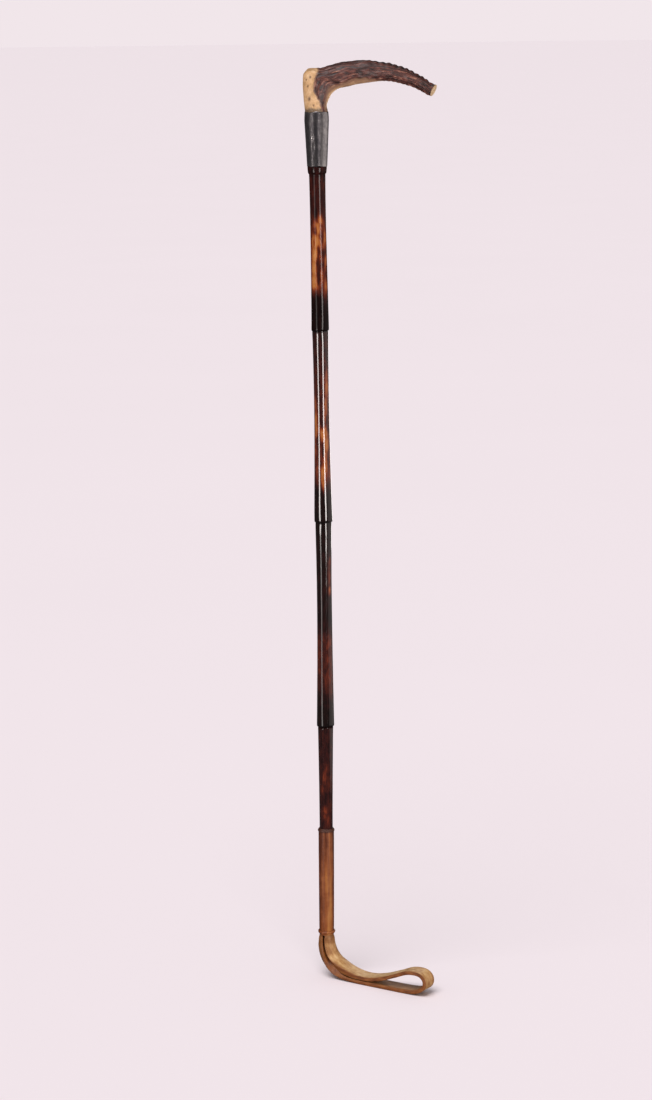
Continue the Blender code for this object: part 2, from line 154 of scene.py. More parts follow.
def spline(knots, count):
    """count points, evenly spaced by length, on a Catmull-Rom curve through knots."""
    knots = np.asarray(knots, float)
    padded = np.vstack([2 * knots[0] - knots[1], knots, 2 * knots[-1] - knots[-2]])
    t = np.linspace(0, 1, 24, endpoint=False)[:, None]
    fine = []
    for a, b, c, d in zip(padded, padded[1:], padded[2:], padded[3:]):
        fine.append(0.5 * (2 * b + (c - a) * t + (2 * a - 5 * b + 4 * c - d) * t ** 2
                           + (3 * b - a - 3 * c + d) * t ** 3))
    fine = np.vstack([*fine, knots[-1:]])
    length = lengths(fine)
    even = np.linspace(0, length[-1], count)
    return np.column_stack([np.interp(even, length, column) for column in fine.T])


def lengths(points):
    """Distance along a line of points, from its start to each of them."""
    return np.concatenate([[0], np.cumsum(np.linalg.norm(np.diff(points, axis=0), axis=1))])


def units(vectors):
    """The vectors, each scaled to length 1."""
    return vectors / np.maximum(np.linalg.norm(vectors, axis=-1, keepdims=True), 1e-12)


def grain(points, size_mm, octaves=3, seed=0.0):
    """Fractal noise, about -1 to 1, at each point, with grains of this size in millimetres."""
    spots = points.reshape(-1, 3) / (size_mm * MM) + seed
    values = [noise.fractal(Vector(spot), 1.0, 2.0, octaves) for spot in spots]
    return np.array(values).reshape(points.shape[:-1])


def skin_faces(rows, cols, loop):
    """Quads between neighbouring rings of a grid, whose last ring meets its first with loop."""
    faces = []
    for i in range(rows if loop else rows - 1):
        low, high = i * cols, (i + 1) % rows * cols
        for j in range(cols):
            k = (j + 1) % cols
            faces.append((low + j, low + k, high + k, high + j))
    return faces


def volume(points, faces):
    """Signed volume inside a closed skin, to tell which way its faces point."""
    total = 0.0
    for face in faces:
        a = points[face[0]]
        for b, c in zip(face[1:], face[2:]):
            total += np.dot(a, np.cross(points[b], points[c]))
    return total


def add_skin(name, grids, material, body=CROP, replaces=(), marks=None, loop=False, sharp=50.0):
    """One object from grids of points (rows, columns, 3). Each grid's columns close into rings. Its rows
    close too with loop, and otherwise each end gets a flat fan of triangles. marks are attributes with a
    value for each point of a lone grid, and edges sharper than sharp, in degrees, aren't smoothed."""
    points, faces = [], []
    for grid in grids:
        rows, cols = grid.shape[:2]
        first = sum(len(block) for block in points)
        block = grid.reshape(-1, 3)
        part = skin_faces(rows, cols, loop)
        source = np.arange(rows * cols)
        if not loop:
            block = np.vstack([block, grid[0].mean(0), grid[-1].mean(0)])
            end = (rows - 1) * cols
            source = np.append(source, [0, end])
            for j in range(cols):
                k = (j + 1) % cols
                part.append((k, j, rows * cols))
                part.append((end + j, end + k, rows * cols + 1))
        if volume(block, part) < 0:
            part = [face[::-1] for face in part]
        points.append(block)
        faces += [tuple(first + n for n in face) for face in part]
    mesh = bpy.data.meshes.new(name)
    mesh.from_pydata(np.vstack(points).tolist(), [], faces)
    for mark, values in (marks or {}).items():
        values = np.asarray(values, np.float32)
        vector = values.ndim == 3
        made = mesh.attributes.new(mark, "FLOAT_VECTOR" if vector else "FLOAT", "POINT")
        values = values.reshape(-1, 3) if vector else values.ravel()
        made.data.foreach_set("vector" if vector else "value", values[source].ravel())
    mesh.materials.append(material)
    mesh.shade_smooth()
    mesh.set_sharp_from_angle(angle=math.radians(sharp))
    mesh.validate()
    obj = bpy.data.objects.new(name, mesh)
    bpy.context.scene.collection.objects.link(obj)
    if replaces:
        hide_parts(*replaces)
    if body:
        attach(obj, body)
    return obj


# ---- real sizes, all in metres, shared by the pieces ----

COLLAR_TOP_Z, COLLAR_SWELL_Z, COLLAR_BOTTOM_Z = 20.5 * MM, 14.0 * MM, -20.5 * MM
COLLAR_MOUTH_R, COLLAR_SWELL_R, COLLAR_BOTTOM_R = 8.95 * MM, 9.3 * MM, 7.65 * MM
COLLAR_WALL, COLLAR_LIP = 0.6 * MM, 0.16 * MM
BOW_TOP_Z, BOW_BOTTOM_Z = -28.0 * MM, -621.7 * MM
CANE_BOW = 1.4 * MM
FLOOR_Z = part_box("keeper_loop")[0].z
BEND_TURN = math.radians(33.0)


def bow(z):
    """Sideways offset of the cane's natural bow at height z."""
    t = np.clip((BOW_TOP_Z - np.asarray(z, float)) / (BOW_TOP_Z - BOW_BOTTOM_Z), 0, 1)
    return CANE_BOW * np.sin(np.pi * t)


def turned(radii, heights, turns):
    """A grid of points round the shaft: radii (rows, columns), heights (rows) or (rows, columns)."""
    heights = np.broadcast_to(np.asarray(heights, float).reshape(len(radii), -1), radii.shape)
    x = radii * np.sin(turns) + bow(heights)
    return np.stack([x, -radii * np.cos(turns), heights], axis=2)


def turns_of(count):
    """count turns, in radians, evenly spaced round a ring."""
    return np.linspace(0, 2 * np.pi, count, endpoint=False)


def away(turns, degrees):
    """Angle in radians, with sign, from a turn in degrees to each of turns."""
    return (turns - math.radians(degrees) + np.pi) % (2 * np.pi) - np.pi


def beside(turns, degrees, width):
    """1 at a turn, falling off to its sides over this many degrees."""
    return bell(away(turns, degrees), math.radians(width))


# ---- sizes and colours a user would change ----

def size_prop(name, description, size_mm):
    return bpy.props.FloatProperty(
        name=name, description=description, default=size_mm * MM, min=0.0, unit="LENGTH", precision=5
    )


def colour_prop(name, description, hex_code):
    return bpy.props.FloatVectorProperty(
        name=name, description=description, default=linear(hex_code), size=4, min=0.0, max=1.0,
        subtype="COLOR",
    )


class CropSizes(bpy.types.PropertyGroup):
    groove_depth: size_prop("Groove depth", "Depth of the furrows along the antler's bark", 0.5)
    pearl_height: size_prop("Pearl height", "Height of the bumps on the antler's edges", 0.34)
    dent_depth: size_prop("Dent depth", "Depth of the deepest dent in the collar", 0.32)
    lip_drop: size_prop("Lip drop", "How far a node's lip stands over the next internode", 0.35)
    stitch_pitch: size_prop("Stitch pitch", "Distance between stitches on the grip tube", 2.5)
    thread_radius: size_prop("Thread radius", "Radius of the thread of the dark ring", 0.30)
    strap_width: size_prop("Strap width", "Width of the keeper strap", 13.3)
    strap_thickness: size_prop("Strap thickness", "Thickness of the keeper strap", 3.0)


class CropColours(bpy.types.PropertyGroup):
    antler_cream: colour_prop("Antler cream", "Filed antler at the heel", "#bf9b70")
    antler_bark: colour_prop("Antler bark", "Middle tone of the antler's bark", "#452019")
    # Silver also paints the reflection on the collar's right front, and tarnish paints its dark reflection
    # down its front.
    silver: colour_prop("Silver", "Rubbed metal of the collar", "#bab4b3")
    tarnish: colour_prop("Tarnish", "Oxidised metal of the collar", "#767277")
    sleeve_tan: colour_prop("Grip tube tan", "Lit tone of the grip tube's calf", "#6e3916")
    strap_tan: colour_prop("Strap tan", "Worn face of the keeper strap", "#ab8b5f")
    strap_edge: colour_prop("Strap edge", "Cut edge of the keeper strap", "#693a16")
    floor: colour_prop("Floor", "Pale paper under the crop", "#f2eaee")
    backdrop: colour_prop("Backdrop", "Pale surround behind the crop", "#f1e6ea")


# ---- stage ----

SUN_STRENGTH, SUN_COLOUR, SUN_ANGLE = 2.3, (1.0, 0.965, 0.97), math.radians(40)
# Polished pieces mirror a dim room round the lit table.
AMBIENT, ROOM_GLOSS, ROOM_COLOUR = 0.36, 0.08, (1.0, 0.95, 0.97, 1.0)
STRIP_REACH, STRIP_COLOUR = 1.5, (1.0, 0.93, 0.90)
# Soft strips of light: (name, turn, low z, high z, width, radiance). The strips draw the cane's long
# highlights. The glows and the panel are weaker, and light the collar too.
STRIPS = (
    ("strip_right", 32, -0.62, -0.09, 0.40, 19.0), ("strip_left", -46, -0.60, -0.32, 0.40, 17.0),
    ("strip_left_high", -46, -0.32, -0.09, 0.40, 5.0), ("strip_left_low", -46, -0.86, -0.60, 0.40, 4.0),
    ("strip_back", 165, -0.60, 0.10, 0.42, 5.0),
)
GLOWS = (
    ("glow_left", -50, -0.50, 0.50, 0.20, 2.4), ("glow_right", 28, -0.50, 0.50, 0.12, 5.0),
    ("panel_right", 92, -0.95, 0.55, 2.1, 0.60),
)
# What the strips and the glows don't reach: the floor, so that it shows no pools of light, and for the
# strips also the collar, whose satin metal would smear them.
OFF_STRIPS, OFF_GLOWS = "off_the_strips", "off_the_glow"
FLOOR_R, FLOOR_SIDES, PULP_SHADE = 300.0, 96, 0.985
CAMERA_PLACE = (5.2 * MM, -2.10, 77.0 * MM)
CAMERA_LENS, CAMERA_SENSOR, CAMERA_SHIFT, CAMERA_FAR = 90.43, 36.0, -0.2024, 1000.0
CAMERA_TILT, CAMERA_ROLL = math.radians(84.0), math.radians(-0.7)


def add_light(name, kind, place, target, colour, energy, **settings):
    """A light at a place that points at a target and that the camera doesn't see."""
    light = bpy.data.lights.new(name, kind)
    light.energy = energy
    light.color = colour
    for key, value in settings.items():
        setattr(light, key, value)
    obj = bpy.data.objects.new(name, light)
    obj.location = place
    obj.rotation_euler = (Vector(target) - Vector(place)).to_track_quat("-Z", "Y").to_euler()
    obj.visible_camera = False
    bpy.context.scene.collection.objects.link(obj)
    return obj


def keep_off(obj, group_name):
    """The lights that this group is linked to don't reach obj."""
    group = bpy.data.collections.get(group_name) or bpy.data.collections.new(group_name)
    group.objects.link(obj)
    for member in group.collection_objects:
        member.light_linking.link_state = "EXCLUDE"
    return group


def add_strip(name, turn, low, high, width, radiance):
    """A tall soft strip of this width, between two heights, that emits this radiance."""
    angle, centre, height = math.radians(turn), (low + high) / 2, high - low
    place = (STRIP_REACH * math.sin(angle), -STRIP_REACH * math.cos(angle), centre)
    power = radiance * math.pi * width * height
    return add_light(name, "AREA", place, (0, 0, centre), STRIP_COLOUR, power,
                     shape="RECTANGLE", size=width, size_y=height)


def matt_paper_floor(colour):
    """Matt uncoated paper: no gloss at all, and a faint mottle of its pulp."""
    made, tree = new_material("Paper, matt uncoated sheet", {"Roughness": 0.9, "Specular IOR Level": 0.1})
    place = add(tree, "TexCoord", out="Object")
    pulp = add(tree, "TexNoise", {"Vector": place, "Scale": per(400), "Detail": 2.0})
    darker = [c * PULP_SHADE for c in colour[:3]] + [1.0]
    return finished(made, {"Base Color": add(tree, "Mix", {0: pulp, 6: colour, 7: darker}, **COLOUR_MIX)})


class CROP_OT_stage(bpy.types.Operator):
    """Adds the pale floor, the surround, the soft lights and the camera"""
    bl_idname = "crop.stage"
    bl_label = "Stage"

    def execute(self, context):
        scene = context.scene
        colours = scene.crop_colours
        scene.view_settings.view_transform = "Standard"

        mesh = bpy.data.meshes.new("floor")
        corners = [(FLOOR_R * math.cos(a), FLOOR_R * math.sin(a), FLOOR_Z) for a in turns_of(FLOOR_SIDES)]
        mesh.from_pydata(corners, [], [tuple(range(FLOOR_SIDES))])
        mesh.materials.append(matt_paper_floor(tuple(colours.floor)))
        floor = bpy.data.objects.new("floor", mesh)
        floor.visible_glossy = False
        scene.collection.objects.link(floor)

        # The camera sees the backdrop's colour, a glossy surface a dim room, and a matt one the light.
        world = bpy.data.worlds.new("surround")
        world.use_nodes = True
        tree = world.node_tree
        tree.nodes.clear()
        light, room, pale = (
            add(tree, "Background", {"Color": colour, "Strength": strength})
            for colour, strength in (
                (ROOM_COLOUR, AMBIENT), (ROOM_COLOUR, ROOM_GLOSS), (tuple(colours.backdrop), 1.0)))
        is_glossy, is_camera = (
            add(tree, "LightPath", out=ray) for ray in ("Is Glossy Ray", "Is Camera Ray"))
        lit = add(tree, "MixShader", {0: is_glossy, 1: light, 2: room})
        add(tree, "OutputWorld", {"Surface": add(tree, "MixShader", {0: is_camera, 1: lit, 2: pale})})
        scene.world = world

        add_light("overhead", "SUN", (-0.5, -1.0, 2.2), (0, 0, 0), SUN_COLOUR, SUN_STRENGTH,
                  angle=SUN_ANGLE)
        for strips, name in ((STRIPS, OFF_STRIPS), (GLOWS, OFF_GLOWS)):
            unlit = keep_off(floor, name)
            for strip in strips:
                add_strip(*strip).light_linking.receiver_collection = unlit

        camera = bpy.data.objects.new("camera", bpy.data.cameras.new("camera"))
        camera.data.lens = CAMERA_LENS
        camera.data.sensor_width = CAMERA_SENSOR
        camera.data.shift_y = CAMERA_SHIFT
        camera.data.clip_end = CAMERA_FAR
        camera.location = CAMERA_PLACE
        turn = Matrix.Rotation(CAMERA_TILT, 3, "X") @ Matrix.Rotation(CAMERA_ROLL, 3, "Z")
        camera.rotation_euler = turn.to_euler()
        scene.collection.objects.link(camera)
        scene.camera = camera
        return {"FINISHED"}


# ---- antler crook ----

# Matching points on the inner and outer outlines, (inner x, z, outer x, z) in millimetres, from the
# collar's mouth round the heel to the sawn tip.
ANTLER_OUTLINES = (
    (8.7, 20.9, -8.7, 20.9), (8.0, 25.7, -9.3, 26.6), (10.0, 30.9, -10.0, 35.7),
    (11.9, 34.3, -10.1, 43.3), (15.0, 36.9, -9.1, 50.0), (18.0, 38.4, -5.3, 53.4),
    (21.8, 39.1, 3.1, 53.4), (25.6, 39.8, 10.6, 55.4), (30.9, 41.1, 19.0, 57.8),
    (37.0, 41.9, 28.8, 58.6), (42.3, 42.6, 37.9, 59.1), (49.1, 43.3, 47.7, 57.8),
    (55.2, 43.1, 55.3, 56.6), (59.7, 42.4, 61.7, 54.9), (65.0, 41.0, 68.1, 52.7),
    (71.8, 39.0, 75.3, 49.0), (78.6, 35.8, 82.4, 44.9), (83.9, 32.7, 87.3, 41.2),
    (86.5, 31.5, 90.7, 40.1),
)
HEEL_DEPTH_R, MOST_DEPTH_R = 8.7 * MM, 9.6 * MM
ARM_START = 42 * MM
TENON_R, TENON_HEIGHTS = 8.1 * MM, np.array((9.0, 15.0, 20.3))
TIP_SLANT = 0.34
# The sawn tip's rings: (share of the tip's size, how far out in rows).
TIP_DISC = ((0.955, 0.35), (0.90, 0.45), (0.7, 0.45), (0.45, 0.42), (0.2, 0.42))
# Distance between pearls along the antler in millimetres, and how soiled the collar's mouth is.
PEARL_PITCH, SOIL = 4.2, 0.85
# Where the filed cream ends and the bark starts: x at height z, in millimetres.
CREAM_EDGE_Z = (20.0, 23.0, 26.5, 31.8, 36.0, 40.7, 46.0, 51.5, 58.0)
CREAM_EDGE_X = (4.0, 3.6, 3.2, 0.6, -1.6, -2.4, -0.6, 1.0, 3.6)
# Half the angle of the filed strip under the arm, in radians, at x in millimetres.
STRIP_X = (5.0, 9.0, 12.0, 16.0, 20.0, 28.0, 36.0, 42.0, 47.0, 52.0)
STRIP_ANGLE = (0.5, 0.85, 0.75, 0.7, 0.8, 1.0, 0.95, 0.7, 0.3, 0.0)
# Brown pits in the filed cream: (x, z, radius) in millimetres, on the front.
PIT_DEPTH = 0.35 * MM
CREAM_PITS = ((-5.4, 30.6, 1.5), (-4.6, 47.0, 1.1), (-6.5, 40.0, 0.8), (-2.0, 25.5, 0.9), (-7.6, 45.0, 0.7))


def antler_grid(rows=260, cols=112):
    """Sections of the antler before relief, with each row's length along it and each column's angle."""
    outline = spline(np.array(ANTLER_OUTLINES) * MM, rows)
    inner, outer = outline[:, :2], outline[:, 2:]
    middle, half = (inner + outer) / 2, (outer - inner) / 2
    along = lengths(middle)
    half_length = np.linalg.norm(half, axis=1)
    arm = smooth(0, ARM_START, along)
    depth = np.minimum(HEEL_DEPTH_R + (half_length - HEEL_DEPTH_R) * arm, MOST_DEPTH_R)
    angle = turns_of(cols)
    flat = middle[:, None, :] - half[:, None, :] * np.cos(angle)[None, :, None]
    grid = np.stack([flat[..., 0], depth[:, None] * np.sin(angle), flat[..., 1]], axis=2)
    return grid, along, angle, (half_length + depth) / 2


def antler_relief(grid, along, angle, mean_r, sizes):
    """Bark share, relief height, ridges, pits and straightened grain coordinates for each point of the
    antler. A column's angle is 0 under the arm and pi on top of it."""
    x, y, z = (grid[..., k] / MM for k in range(3))
    s, end = (along / MM)[:, None], along[-1] / MM
    a = angle[None, :]
    straight = np.stack([
        np.broadcast_to(along[:, None], x.shape),
        mean_r[:, None] * np.cos(a), mean_r[:, None] * np.sin(a),
    ], axis=2)
    ragged = grain(grid, 3.5, 3, 3.1)
    edge = x - np.interp(z, CREAM_EDGE_Z, CREAM_EDGE_X) + ragged + np.where(y > 0, 1.2, 0.0)
    from_inner = np.abs((a + np.pi) % (2 * np.pi) - np.pi)
    strip = np.interp(x, STRIP_X, STRIP_ANGLE) + ragged * 0.09
    left_on = np.clip(0.07 + 0.16 * smooth(14, 24, x) + 0.2 * ragged, 0.0, 0.6)
    bark = smooth(-0.7, 0.7, edge) * np.maximum(smooth(-0.30, 0.42, from_inner - 0.8 * strip), left_on)

    # Furrows and fibres run along the antler, and pearls stand in rows on its back and under its arm.
    stretched = straight * np.array([0.28, 1.0, 1.0])
    wander = grain(stretched, 5.0, 2, 8.0)
    broken = smooth(-0.45, 0.25, grain(stretched, 2.6, 2, 15.0))
    furrow = (0.5 + 0.5 * np.cos(21 * a + 4.2 * wander + 0.02 * s)) * broken
    fibres = grain(stretched, 1.6, 3, 5.0)
    height = -sizes.groove_depth * furrow ** 3 * (0.75 + 0.5 * wander) + 0.14 * MM * fibres
    on_top, beneath = bell(np.abs(a - np.pi), 0.62), bell(from_inner, 0.75)
    pearls = np.sin(2 * np.pi * s / PEARL_PITCH + 0.9 * grain(straight, 9.0, 2, 1.0)
                    + 1.4 * np.sin(2 * a))
    arm_top, arm_low = smooth(24, 52, s), smooth(58, 82, s)
    strength = on_top * (0.25 + 0.75 * arm_low) * arm_top + 0.8 * beneath * arm_low
    height = height + sizes.pearl_height * strength * (np.abs(pearls) ** 0.8 * np.sign(pearls) - 0.2)
    knobs = np.maximum(grain(straight * np.array([0.6, 1.0, 1.0]), 3.2, 2, 12.0), 0.0)
    height = height + 0.55 * MM * knobs * smooth(8, 20, s) * (1 - 0.5 * smooth(50, 70, s))

    # The cream is filed in shallow flats, with pits in its front, and is lumpy on top of the heel.
    filed = 0.10 * MM * grain(grid, 6.0, 2, 2.0) + 0.02 * MM * grain(stretched, 0.9, 2, 4.0)
    lumps = 0.75 * MM * grain(grid, 5.0, 2, 6.5) * smooth(44, 52, z) * (1 - smooth(8, 14, x))
    pits = np.zeros_like(x)
    for px, pz, size in CREAM_PITS:
        pits = np.maximum(pits, bell(np.hypot((x - px) * 1.5, z - pz), size) * (y < 0))
    filed = filed - PIT_DEPTH * pits
    relief = bark * (height + 0.15 * MM) + (1 - bark) * filed + lumps
    step = -0.25 * MM * bell(edge, 0.9) * (from_inner > strip)
    relief = (relief + step) * smooth(0.0, 2.5, s) * (1 - 0.7 * smooth(end - 2.0, end, s))
    ridge = np.clip(0.5 + height / (1.5 * MM) - 0.28 * on_top * arm_top, 0, 1)
    return bark, relief, ridge, pits, straight


def stag_antler(colours):
    """Stag antler, air dried, bark left rough on the arm and filed smooth at the heel: rough dark
    furrows with rubbed greyish ridge tops beside waxy cream bone with yellow stains."""
    made, tree = new_material("Antler, stag, filed and waxed", {"Roughness": 0.5, "IOR": 1.55})
    bark, ridge, pit, sawn, soiled = (
        add(tree, "Attribute", out="Fac", attribute_name=mark)
        for mark in ("bark", "ridge", "pit", "sawn", "soiled"))
    straight = add(tree, "Attribute", out="Vector", attribute_name="straight")
    place = add(tree, "TexCoord", out="Object")
    stretch = add(tree, "Mapping", {"Vector": straight, "Scale": (0.18, 1.0, 1.0)})

    # Cream: yellow and pinkish stains 5 mm across, and fine growth lines along the bone.
    stain = add(tree, "TexNoise", {"Vector": place, "Scale": per(5), "Detail": 3.0, "Roughness": 0.6})
    cream = add(tree, "ValToRGB", {"Fac": stain}, ramp=[
        (0.25, "#9a7b50"), (0.42, "#ad8b60"), (0.55, tuple(colours.antler_cream)), (0.75, "#cdb18c")])
    lines = add(tree, "TexNoise", {"Vector": stretch, "Scale": per(0.7), "Detail": 3.0})
    lined = add(tree, "Mix", {0: lines, 6: cream, 7: linear("#c09a68")}, blend_type="MULTIPLY", **COLOUR_MIX)
    soft = add(tree, "Mix", {0: 0.35, 6: cream, 7: lined}, **COLOUR_MIX)
    pitted = add(tree, "Mix", {0: pit, 6: soft, 7: linear("#4a2d18")}, **COLOUR_MIX)
    grime = add(tree, "Mix", {0: soiled, 6: pitted, 7: linear("#4a3a29")}, **COLOUR_MIX)

    # Bark: dark in the furrows, red-brown on the flanks, rubbed grey-brown on the ridges.
    mottle = add(tree, "TexNoise", {"Vector": stretch, "Scale": per(1.5), "Detail": 4.0, "Roughness": 0.7})
    level = swayed(tree, ridge, (mottle, 0.25, 0.75, -0.55, 0.50))
    dark = add(tree, "ValToRGB", {"Fac": level}, ramp=[
        (0.08, "#170806"), (0.30, "#31110a"), (0.48, tuple(colours.antler_bark)), (0.64, "#5b2a1f"),
        (0.82, "#7c5241"), (0.97, "#a8836a")])
    patches = add(tree, "TexNoise", {"Vector": place, "Scale": per(9), "Detail": 2.0})
    redden = add(tree, "MapRange", {"Value": patches, 1: 0.42, 2: 0.62, 3: 0.0, 4: 0.75})
    red = add(tree, "Mix", {0: redden, 6: dark, 7: linear("#8c3f2c")}, blend_type="MULTIPLY", **COLOUR_MIX)
    redder = add(tree, "Mix", {0: 0.35, 6: dark, 7: red}, **COLOUR_MIX)

    # A narrow brown band lies between them, and the saw cut shows pale porous core.
    edge = add(tree, "ValToRGB", {"Fac": bark}, ramp=[(0.0, "#000000"), (0.5, "#ffffff"), (1.0, "#000000")])
    joined = add(tree, "Mix", {0: bark, 6: grime, 7: redder}, **COLOUR_MIX)
    banded = add(tree, "Mix", {0: edge, 6: joined, 7: linear("#745440")}, **COLOUR_MIX)
    pores = add(tree, "TexVoronoi", {"Vector": place, "Scale": per(0.9)})
    core = add(tree, "ValToRGB", {"Fac": pores}, ramp=[(0.1, "#6f5236"), (0.4, "#b0946c"), (0.8, "#bfa680")])

    pore = add(tree, "TexNoise", {"Vector": stretch, "Scale": per(0.45), "Detail": 4.0, "Roughness": 0.7})
    strength = add(tree, "MapRange", {"Value": bark, 3: 0.12, 4: 0.55})
    return finished(made, {
        "Base Color": add(tree, "Mix", {0: sawn, 6: banded, 7: core}, **COLOUR_MIX),
        "Normal": add(tree, "Bump", {"Strength": strength, "Distance": 0.12 * MM, "Height": pore}),
        "Roughness": add(tree, "MapRange", {"Value": pore, 1: 0.3, 2: 0.7, 3: 0.42, 4: 0.60}),
    })


class CROP_OT_antler(bpy.types.Operator):
    """Adds the stag antler crook with its bark, filed cream and sawn tip"""
    bl_idname = "crop.antler"
    bl_label = "Antler crook"

    def execute(self, context):
        scene = context.scene
        grid, along, angle, mean_r = antler_grid()
        bark, relief, ridge, pits, straight = antler_relief(grid, along, angle, mean_r, scene.crop_sizes)
        round_it = np.roll(grid, -1, axis=1) - np.roll(grid, 1, axis=1)
        outward = units(np.cross(round_it, np.gradient(grid, axis=0)))
        if ((grid - grid.mean(axis=1, keepdims=True)) * outward).sum() < 0:
            outward = -outward
        grid = grid + outward * relief[..., None]

        # The saw cut at the tip is slanted, so that the arm is shorter on its front side than behind.
        heading = units(grid[-1].mean(axis=0) - grid[-6].mean(axis=0))
        slant = smooth(along[-1] - 9 * MM, along[-1], along)[:, None] * (-0.8 * MM - grid[..., 1]) * TIP_SLANT
        grid = grid - heading * slant[..., None]

        # The tenon goes down into the collar, and the sawn tip is a flat disc.
        tenon = turned(np.full((3, len(angle)), TENON_R), TENON_HEIGHTS * MM, np.pi / 2 - angle)
        tenon[..., 1] *= -1
        tip, plane = grid[-1], along[-1] - along[-2]
        centre = tip.mean(axis=0)
        axis = units(grid[-1].mean(axis=0) - grid[-4].mean(axis=0))
        disc = np.array([centre + (tip - centre) * share + axis * rise * plane for share, rise in TIP_DISC])

        def extend(values, low, high):
            """The values of the grid's points, with low for the tenon and high for the disc."""
            return np.concatenate([np.full((len(tenon), len(angle)), low), values,
                                   np.full((len(disc), len(angle)), high)])

        low = grid[..., 2] / MM + 0.9 * grain(grid, 2.5, 2, 7.7)
        marks = {
            "soiled": extend((1 - smooth(22.2, 24.6, low)) * SOIL, SOIL, 0.0), "bark": extend(bark, 0.0, 0.0),
            "ridge": extend(ridge, 0.5, 0.5), "pit": extend(pits, 0.0, 0.0),
            "sawn": extend(np.zeros_like(bark), 0.0, 1.0),
            "straight": np.concatenate([tenon, straight, disc]),
        }
        add_skin("antler", [np.concatenate([tenon, grid, disc])], stag_antler(scene.crop_colours),
                 replaces=["antler_handle"], marks=marks, sharp=70)
        return {"FINISHED"}


# ---- collar and its pin ----

# Dents: (z, turn, half height in mm, half width in degrees, share of the deepest).
COLLAR_DENTS = (
    (1.5, -22, 2.2, 9, 1.0), (-5.5, -18, 3.4, 7, 0.8), (12.0, -30, 4.0, 11, 0.6), (8.0, 20, 5.0, 10, 0.5),
    (-12.0, 28, 4.5, 12, 0.55), (-16.5, -12, 2.2, 12, 0.8), (17.0, 55, 3.0, 14, 0.5), (4.0, 62, 6.0, 12, 0.4),
    (-3.0, 110, 4.0, 12, 0.7), (9.0, 160, 5.0, 15, 0.6), (-10.0, 205, 4.0, 14, 0.7), (3.0, 250, 5.0, 12, 0.5),
)
PIN_Z, PIN_TURN = 1.2 * MM, math.radians(-27.0)
PIN_HEAD_R, PIN_HEAD_RISE = 1.1 * MM, 0.38 * MM
# The pin head's rings: (share of its radius, share of its rise).
PIN_RINGS = ((0.7, -0.8), (1.0, -0.8), (1.0, 0.25), (0.86, 0.62), (0.6, 0.88), (0.3, 0.98))


def collar_radius(z):
    """The collar's outside radius at height z, before dents."""
    z = np.asarray(z, float)
    up = np.clip((z - COLLAR_SWELL_Z) / (COLLAR_TOP_Z - COLLAR_SWELL_Z), 0, 1)
    down = np.clip((COLLAR_SWELL_Z - z) / (COLLAR_SWELL_Z - COLLAR_BOTTOM_Z), 0, 1)
    mouth, foot = COLLAR_MOUTH_R - COLLAR_SWELL_R, COLLAR_BOTTOM_R - COLLAR_SWELL_R
    return COLLAR_SWELL_R + mouth * up ** 2 + foot * down


def oxidised_silver(colours):
    """Silver sheet, raised by hand and left to tarnish: blue-black oxide, rubbed back to grey metal on
    the high places, with long fine scratches from polishing. Its mask also paints a reflection of the
    pale surround on the collar's right front and a dark reflection down its front."""
    made, tree = new_material("Silver, raised sheet, oxidised", {"Metallic": 1.0, "Roughness": 0.36})
    rubbed_and_reflection = add(tree, "Attribute", out="Fac", attribute_name="rubbed_and_reflection")
    place = add(tree, "TexCoord", out="Object")
    cloud = add(tree, "TexNoise", {"Vector": place, "Scale": per(3.5), "Detail": 4.0, "Roughness": 0.65})
    stretch = add(tree, "Mapping", {"Vector": place, "Scale": (1.0, 1.0, 0.12)})
    scratch = add(tree, "TexNoise", {"Vector": stretch, "Scale": per(0.5), "Detail": 3.0})
    wear = swayed(tree, rubbed_and_reflection, (cloud, 0.35, 0.68, -0.22, 0.30), (scratch, 0.3, 0.7, -0.24, 0.24))
    return finished(made, {
        "Base Color": add(tree, "Mix", {0: wear, 6: tuple(colours.tarnish), 7: tuple(colours.silver)},
                          **COLOUR_MIX),
        "Roughness": add(tree, "MapRange", {"Value": wear, 3: 0.40, 4: 0.27}),
        "Normal": add(tree, "Bump", {"Strength": 0.4, "Distance": 0.12 * MM, "Height": cloud}),
    })


